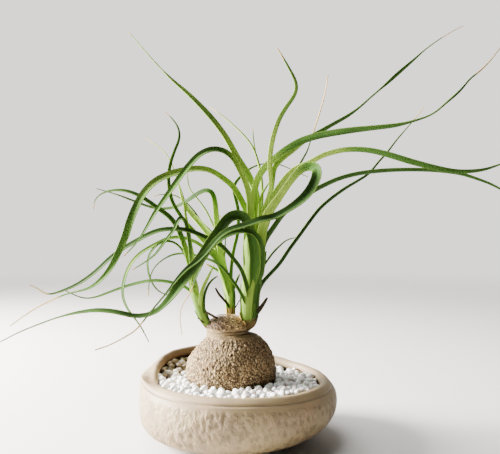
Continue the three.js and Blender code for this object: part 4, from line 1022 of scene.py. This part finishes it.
            [-37, 123, -7.5], [-44, 138, -10], [-49, 144, -9], [-53, 147, -7], [-59, 150, -5],
            [-63, 151, -4], [-74, 153.5, -2], [-89, 154, 1], [-102, 151.5, 4], [-116, 147.5, 6],
            [-131, 142, 7], [-142, 138, 7], [-151, 136.5, 7], [-159, 137.5, 7], [-167, 141, 6],
            [-175, 145, 5],
        ]],
        ["short light", 4.2, 0.95, [25, 35, 50], [
            [-36, 119, -6], [-38.5, 131, -13], [-38, 138, -16], [-36.5, 145, -18], [-34, 151, -19],
            [-31, 157, -21], [-28, 163, -22], [-25, 170, -24],
        ]],
        ["short dark", 3.6, 0.95, [40, 45, 50], [
            [-32.5, 113.5, -3], [-34.5, 124, -9], [-34.8, 137, -11], [-32.8, 145, -10], [-30, 151, -9],
            [-26, 156, -8], [-21, 159, -7],
        ]],
        ["dry scale left", 2.4, 1, [40, 40], [
            [-31.5, 110.5, -2.5], [-36, 112.5, -7], [-41.5, 117, -10],
        ]],
        ["dry spike left", 2.6, 1, [50, 50], [
            [-37, 124.5, -7.5], [-32, 122.5, -12], [-26, 119, -14.5], [-21, 116.5, -15],
        ]],
        ["low dry scale", 2, 1, [50, 50], [
            [-32.5, 115, -4], [-28, 114, -13], [-23, 112.5, -17],
        ]],
    ],
}

# What a leaf looks like: how young and yellow it is near the stem and then further out, at what share of
# its length that changes, from what share it is dry, and how rusty the dry part is. Where the far part is
# darker because it turns away from the light, as past the folds of "folded right" and "folded middle", that
# is painted shade. "" is for the leaves that aren't named.
leafLooks = {
    "large": {
        "": (0.7, 0.3, 0.3, 0.97, 0.5), "long upper left": (0.85, 0.55, 0.5, 0.98, 0.4),
        "high arch left": (0.85, 0.36, 0.42, 0.97, 0.4), "low arch left": (0.78, 0.42, 0.5, 0.82, 0.2),
        "far left sweep": (0.2, 0, 0.3, 0.9, 0.3), "low loop left": (0.4, 0.14, 0.3, 0.95, 0.4),
        "knee front left": (0.35, 0.14, 0.15, 0.97, 0.4), "folded right": (0.95, 0, 0.31, 0.86, 0.5),
        "arch over stem": (0.3, 0.1, 0.25, 0.68, 0.2), "long right": (0.85, 0.16, 0.35, 0.88, 0.4),
        "high right": (0.75, 0.26, 0.4, 0.9, 0.1), "wavy right": (0.95, 0.2, 0.48, 0.97, 0.4),
        "level right": (0.25, 0.12, 0.2, 0.98, 0.5), "straight low right": (0.15, 0.04, 0.2, 0.92, 0.1),
        "short low right": (0.2, 0.1, 0.2, 0.95, 0.4), "dry tipped right": (0.5, 0.3, 0.3, 0.55, 0),
        "upright": (1, 0.5, 0.6, 0.93, 0.3), "short light": (1, 0.85, 0.5, 0.97, 0.2),
        "thin upper back": (0.8, 0.7, 0.5, 0.92, 0.2), "thread upper back": (0.8, 0.7, 0.5, 0.95, 0.1),
        "dry stub right": (0.05, 0, 0.5, 0.3, 1), "dry scale right": (0.1, 0, 0.5, 0.15, 1),
    },
    "middle": {
        "": (0.6, 0.3, 0.3, 0.97, 0.5), "tall bent back": (0.5, 0.3, 0.3, 0.97, 0.5),
        "folded middle": (0.95, 0, 0.37, 0.98, 0.5), "dark back left": (0.1, 0.02, 0.3, 0.95, 0.5),
        "thin back": (0.8, 0.6, 0.4, 0.93, 0.4), "broad back left": (1, 0.8, 0.5, 0.93, 0.3),
        "tall hooked left": (0.75, 0.2, 0.4, 0.95, 0.4), "wide loop left": (0.6, 0.2, 0.7, 0.97, 0.5),
        "short middle": (0.6, 0.4, 0.4, 0.9, 0.5), "dry spike left": (0.05, 0, 0.4, 0.15, 1),
        "dry spike right": (0.05, 0, 0.4, 0.1, 1), "curled thread": (0.4, 0.2, 0.3, 0.5, 0.5),
    },
    "left": {
        "": (0.7, 0.35, 0.3, 0.97, 0.5), "upright light": (1, 0.85, 0.4, 0.96, 0.3),
        "drooping tip left": (0.7, 0.22, 0.35, 0.95, 0.4), "folded left": (0.6, 0.15, 0.3, 0.96, 0.6),
        "thin curl left": (0.4, 0.16, 0.3, 0.97, 0.5), "level left": (0.35, 0.14, 0.25, 0.96, 0.6),
        "short light": (0.9, 0.7, 0.4, 0.97, 0.4), "short dark": (0.1, 0.04, 0.3, 0.96, 0.6),
        "dry scale left": (0.1, 0, 0.3, 0.1, 1), "dry spike left": (0.05, 0, 0.3, 0.1, 1),
        "low dry scale": (0.05, 0, 0.3, 0.1, 1),
    },
}

# Leaf bases that wrap the stem: middle and half of the arc they cover in degrees, from and to what share
# of the stem, how far they stand off it, how young they are, and how rusty where they are dry. The middle
# stem's are younger and so lighter, painted light against the shade that the other shoots cast on it.
sheaths = {
    "large": [
        (242, 86, 0.1, 0.98, 0.3, 0.74, 0.85), (325, 52, 0.06, 0.92, 0.8, 0.2, 0.9),
        (5, 60, 0.04, 0.74, 1.2, 0.06, 0.9), (180, 50, 0.04, 0.52, 1.1, 0.5, 0.7),
        (95, 80, 0.04, 0.84, 0.6, 0.3, 0.8), (296, 36, 0.02, 0.42, 1.5, 0.14, 0.85),
        (206, 30, 0.2, 0.36, 1.5, 0.3, 0.15), (244, 24, 0.19, 0.31, 2, 0.3, 0.3),
    ],
    "middle": [
        (250, 80, 0.03, 0.9, 0.3, 0.9, 0.5), (330, 60, 0.03, 0.7, 0.6, 0.4, 0.8),
        (190, 60, 0.03, 0.6, 0.8, 0.7, 0.4), (80, 80, 0.03, 0.8, 0.4, 0.4, 0.6),
    ],
    "left": [
        (240, 80, 0.03, 0.9, 0.3, 0.62, 0.6), (340, 60, 0.03, 0.6, 0.6, 0.22, 0.85),
        (180, 60, 0.03, 0.5, 0.7, 0.6, 0.4), (80, 80, 0.03, 0.8, 0.4, 0.4, 0.6),
    ],
}

# Sizes in millimetres; the sheath, root and thread shares are of a leaf's length
blade = {
    "across": 8, "step": 3.2, "thickness": 0.7, "fold": 0.38, "sheathFold": 0.75, "thread": 1.7,
    "tip": 0.9, "taper": 5, "sheathFlare": 0.45, "sheathShare": 0.14, "rootShare": 0.07,
    "rootNarrowing": 0.6, "wave": 0.12, "waveLength": 16,
    # Dry ends curl by so many degrees and are narrower by this share
    "curl": 55, "shrinking": 0.1,
}
# A sheath that starts above the share "flakesFrom" of its stem is a dry flake, and each stem is dry up to
# the height in "brownBelow"
stem = {
    "sides": 20, "smoothing": 2, "rust": 0.8, "flakesFrom": 0.15,
    "sheathThickness": 0.6, "edgeLift": 0.5, "tipLift": 0.9,
    "brownBelow": {"large": 117, "middle": 125, "left": 111},
}


def placed(across, up, behind):
    # Where a point lies that is seen across and up in the plane through the bowl's axis
    y = behind * viewer["crownDepth"]
    scale = (y - eye.y) / -eye.y
    return Vector((eye.x + (across - eye.x) * scale, y, eye.z + (up - eye.z) * scale))


def curvePoint(points, t):
    # A smooth curve through all of the points, for t from 0 to 1
    spot = min(t, 0.99999) * (len(points) - 1)
    i = int(spot)
    share = spot - i
    a, b = points[i], points[i + 1]
    before = points[i - 1] if i else a * 2 - b
    after = points[i + 2] if i + 2 < len(points) else b * 2 - a
    d0, d1, d2 = [max((q - p).length ** 0.5, 0.01) for p, q in ((before, a), (a, b), (b, after))]
    leave = ((a - before) / d0 - (b - before) / (d0 + d1) + (b - a) / d1) * d1
    arrive = ((b - a) / d1 - (after - a) / (d1 + d2) + (after - b) / d2) * d1
    s2, s3 = share * share, share**3
    onward = a * (2 * s3 - 3 * s2 + 1) + leave * (s3 - 2 * s2 + share)
    return onward + b * (3 * s2 - 2 * s3) + arrive * (s3 - s2)


def evenSteps(points, step):
    # Points a step apart along the curve, a little smoothed, and the curve's length
    parts = 600
    fine = [curvePoint(points, i / parts) for i in range(parts + 1)]
    along = [0]
    for a, b in zip(fine, fine[1:]):
        along.append(along[-1] + (b - a).length)
    count = max(8, round(along[-1] / step))
    row, i = [], 0
    for k in range(count + 1):
        want = along[-1] * k / count
        while i < parts - 1 and along[i + 1] < want:
            i += 1
        share = (want - along[i]) / max(along[i + 1] - along[i], 1e-6)
        row.append(fine[i].lerp(fine[i + 1], min(1, share)))
    for k in range(2):
        row = [row[0]] + [(a + b * 2 + c) / 4 for a, b, c in zip(row, row[1:], row[2:])] + [row[-1]]
    return row, along[-1]


def valueAlong(values, share):
    t = min(max(share, 0), 1) * (len(values) - 1)
    i = min(len(values) - 2, int(t))
    return between(values[i], values[i + 1], smooth(t - i))


def bladeFrames(row, turns, dryFrom, curl):
    # The way across the blade and the way that its face looks, at each step
    last = len(row) - 1
    alongs = [(row[min(last, i + 1)] - row[max(0, i - 1)]).normalized() for i in range(last + 1)]
    ways = []
    for i, (point, along) in enumerate(zip(row, alongs)):
        side = along.cross((point - eye).normalized()).normalized()
        share = i / last
        turn = math.radians(valueAlong(turns, share) + curl * smooth((share - dryFrom) / 0.3))
        way = side * math.cos(turn) + along.cross(side) * math.sin(turn)
        ways.append(-way if ways and way.dot(ways[-1]) < 0 else way)
    for k in range(3):
        ways = [(ways[max(0, i - 1)] + ways[i] * 2 + ways[min(last, i + 1)]) for i in range(last + 1)]
        ways = [(way - along * way.dot(along)).normalized() for way, along in zip(ways, alongs)]
    faces = [along.cross(way) for along, way in zip(alongs, ways)]
    up = 1 if sum(face.z for face in faces) >= 0 else -1
    return ways, [face * up for face in faces]


def bladeWidth(width, thread, share):
    body = 1 - (share / thread) ** blade["taper"] if share < thread else 0
    flare = 1 + blade["sheathFlare"] * (1 - smooth(share / blade["sheathShare"]))
    root = 1 - blade["rootNarrowing"] * (1 - smooth(share / blade["rootShare"]))
    thin = between(blade["thread"], blade["tip"], smooth((share - thread) / max(0.02, 1 - thread)))
    return thin + (width - blade["thread"]) * body * flare * root


def makeBlade(leaf, look, number):
    name, width, thread, turns, path = leaf
    near, far, change, dryFrom, rust = look
    row, length = evenSteps([placed(*point) for point in path], blade["step"])
    curl = blade["curl"] if number % 2 else -blade["curl"]
    ways, faces = bladeFrames(row, turns, dryFrom, curl)
    last = len(row) - 1

    def placeAt(u, v):
        i = round(v * last)
        side = 2 * u - 1
        half = bladeWidth(width, thread, v) / 2
        half *= 1 - blade["shrinking"] * smooth((v - dryFrom) / 0.1)
        fold = between(blade["sheathFold"], blade["fold"], smooth(v / 0.2))
        ripple = noise.noise(Vector((v * length / blade["waveLength"], side * 2, number * 3.7)))
        lift = half * fold * abs(side) ** 1.1 + ripple * blade["wave"] * half / 3
        return row[i] + ways[i] * half * side + faces[i] * lift

    piece, spots = laySheet(name, blade["across"], last, placeAt, length)
    for loop in piece.data.uv_layers["UVMap"].data:
        loop.uv.x += number  # each leaf has streaks of its own
    paint(
        piece,
        youth=[between(near, far, smooth((v - change) / 0.2 + 0.5)) for u, v in spots],
        dryness=[smooth((v - dryFrom) / max(0.03, (1 - dryFrom) * 0.5)) for u, v in spots],
        rust=[rust] * len(spots),
        margin=[smooth((abs(2 * u - 1) - 0.7) / 0.3) for u, v in spots],
    )
    finishWith(piece, "SOLIDIFY", thickness=blade["thickness"] * mm, offset=0, use_even_offset=False)
    return piece


def stemFrame(path, t):
    # Centre, the ways to the right and to the back, radius and the way along, at a share of the stem
    centres = [placed(*point[:3]) for point in path]
    centre = curvePoint(centres, t)
    along = (curvePoint(centres, min(1, t + 0.02)) - curvePoint(centres, max(0, t - 0.02))).normalized()
    side = Vector((0, 1, 0)).cross(along).normalized()
    spot = min(t, 0.9999) * (len(path) - 1)
    radius = between(path[int(spot)][3], path[int(spot) + 1][3], smooth(spot - int(spot)))
    return centre, side, along.cross(side), radius, along


def browned(group, p):
    # How dry a stem is at a spot
    return 0.95 * (1 - smooth((p.z + 5 * noise.noise(p / 2.5) - stem["brownBelow"][group]) / 9 + 0.5))


def makeStem(group, path):
    name = group + "Stem"
    rings = 2 * len(path) - 1

    def pole(end):
        centre, side, back, radius, along = stemFrame(path, end)
        return centre + along * (1 if end else -1)

    def placeRing(ring, way):
        centre, side, back, radius, along = stemFrame(path, ring / (rings - 1))
        turn = math.radians(way)
        return centre + (side * math.cos(turn) + back * math.sin(turn)) * radius

    piece = growRings(name, stem["sides"], rings, pole, placeRing)
    finishWith(piece, "SUBSURF", levels=stem["smoothing"], render_levels=stem["smoothing"])
    base, top = placed(*path[0][:3]).z, placed(*path[-1][:3]).z
    shares = [(vertex.co.z / mm - base) / (top - base) for vertex in piece.data.vertices]
    paint(
        piece,
        youth=[between(0.5, 0.9, smooth(share * 2)) for share in shares],
        dryness=[browned(group, vertex.co / mm) for vertex in piece.data.vertices],
        rust=[stem["rust"]] * len(shares),
    )
    if not piece.data.uv_layers:
        piece.data.uv_layers.new(name="UVMap")
    piece.data.uv_layers[0].name = "UVMap"
    chart = piece.data.uv_layers[0].data
    for loop in piece.data.loops:
        p = piece.data.vertices[loop.vertex_index].co / mm
        chart[loop.index].uv = (math.atan2(p.y - path[2][2], p.x - path[2][0]) * 1.6, p.z / 100)
    return piece


def makeSheath(group, path, sheath, number):
    middle, half, low, high, standing, youth, rust = sheath

    def placeAt(u, v):
        t = between(low, high, v)
        centre, side, back, radius, along = stemFrame(path, t)
        narrow = 1 - 0.55 * smooth(v / 0.9) - 0.4 * smooth((v - 0.7) / 0.3)
        turn = math.radians(middle + half * (2 * u - 1) * narrow)
        edge = abs(2 * u - 1) ** 4
        r = radius + standing + stem["edgeLift"] * edge + stem["tipLift"] * smooth((v - 0.75) / 0.25)
        return centre + (side * math.cos(turn) + back * math.sin(turn)) * r

    piece, spots = laySheet(group + "Sheath", 14, 26, placeAt, 70)
    for loop in piece.data.uv_layers["UVMap"].data:
        loop.uv.x = loop.uv.x * 2 + number * 3
    flaked = 0.95 if low > stem["flakesFrom"] else 0
    paint(
        piece,
        youth=[youth * between(0.4, 1, smooth(v * 2.5)) for u, v in spots],
        dryness=[max(flaked, browned(group, vertex.co / mm)) for vertex in piece.data.vertices],
        rust=[rust] * len(spots),
        margin=[smooth((abs(2 * u - 1) - 0.75) / 0.25) for u, v in spots],
    )
    finishWith(piece, "SOLIDIFY", thickness=stem["sheathThickness"] * mm, offset=0)
    return piece


def makeShoot(group, node):
    path = stems[group]
    pieces = [makeStem(group, path)]
    for number, sheath in enumerate(sheaths[group]):
        pieces.append(makeSheath(group, path, sheath, number))
    for number, leaf in enumerate(leaves[group]):
        look = leafLooks[group].get(leaf[0], leafLooks[group][""])
        pieces.append(makeBlade(leaf, look, number))
    whole = joined(group + "LeafyShoot", pieces)
    rounded(whole, 50)
    dress(whole, node, "leaves", leafSkin)


# The room: floor, light and camera

# Here sizes and places are in metres, and each light has a name, a place, a size, a power and a colour
studio = {
    "floorSize": 6, "backdrop": (1.65, 1.61, 1.56, 1),
    # The soft light comes from behind the plant and from its left
    "bright": (2, 1.94, 1.86, 1), "dim": (0.03, 0.03, 0.031, 1), "brightWay": (-0.7, 0.714, 0),
    "lights": [
        ("windowLight", (-1.3, 0.2, 0.54), 0.7, 300, (1, 0.96, 0.9)),
        ("panelLight", (-0.5, 0.35, 1.6), 1.2, 42, (1, 0.99, 0.97)),
    ],
}


def makeRoom():
    deselectAll()
    bpy.ops.mesh.primitive_circle_add(vertices=96, radius=studio["floorSize"] / 2, fill_type="NGON")
    floor = bpy.context.object
    floor.name = "studioFloor"
    floor.data.materials.append(floorFinish())
    world = bpy.context.scene.world or bpy.data.worlds.new("studioSky")
    bpy.context.scene.world = world
    world.use_nodes = True
    board = Board(world.node_tree)
    way = board.add("ShaderNodeTexCoord").out("Generated")
    settings = {"operation": "DOT_PRODUCT"}
    share = board.add("ShaderNodeVectorMath", settings, {0: way, 1: studio["brightWay"]}).out("Value")
    colour = board.mix(share.spread(-0.1, 1), studio["dim"], studio["bright"])
    # What shows behind the floor is plain on all sides
    seen = board.add("ShaderNodeLightPath").out("Is Camera Ray")
    sky = board.add("ShaderNodeBackground", {}, {"Color": board.mix(seen, colour, studio["backdrop"])})
    board.add("ShaderNodeOutputWorld", {}, {"Surface": sky.out(0)})
    for name, place, size, power, colour in studio["lights"]:
        bpy.ops.object.light_add(type="AREA", location=place)
        lamp = bpy.context.object
        lamp.name = name
        lamp.data.size, lamp.data.energy, lamp.data.color = size, power, colour
        lamp.rotation_euler = (Vector((0, 0, 0.12)) - Vector(place)).to_track_quat("-Z", "Y").to_euler()
    bpy.ops.object.camera_add(location=eye * mm, rotation=(math.pi / 2, 0, 0))
    camera = bpy.context.object
    camera.data.lens, camera.data.sensor_width = viewer["lens"], viewer["sensor"]
    bpy.context.scene.camera = camera


makeRoom()
print("room ready")
makeBowl()
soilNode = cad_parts["soil"]
soilNode.data.materials.clear()
soilNode.data.materials.append(soilFinish())
makePebbles()
makeTrunk()
leafSkin = leafFinish()
makeShoot("large", "large_shoot")
makeShoot("middle", "middle_shoot")
makeShoot("left", "left_shoot")
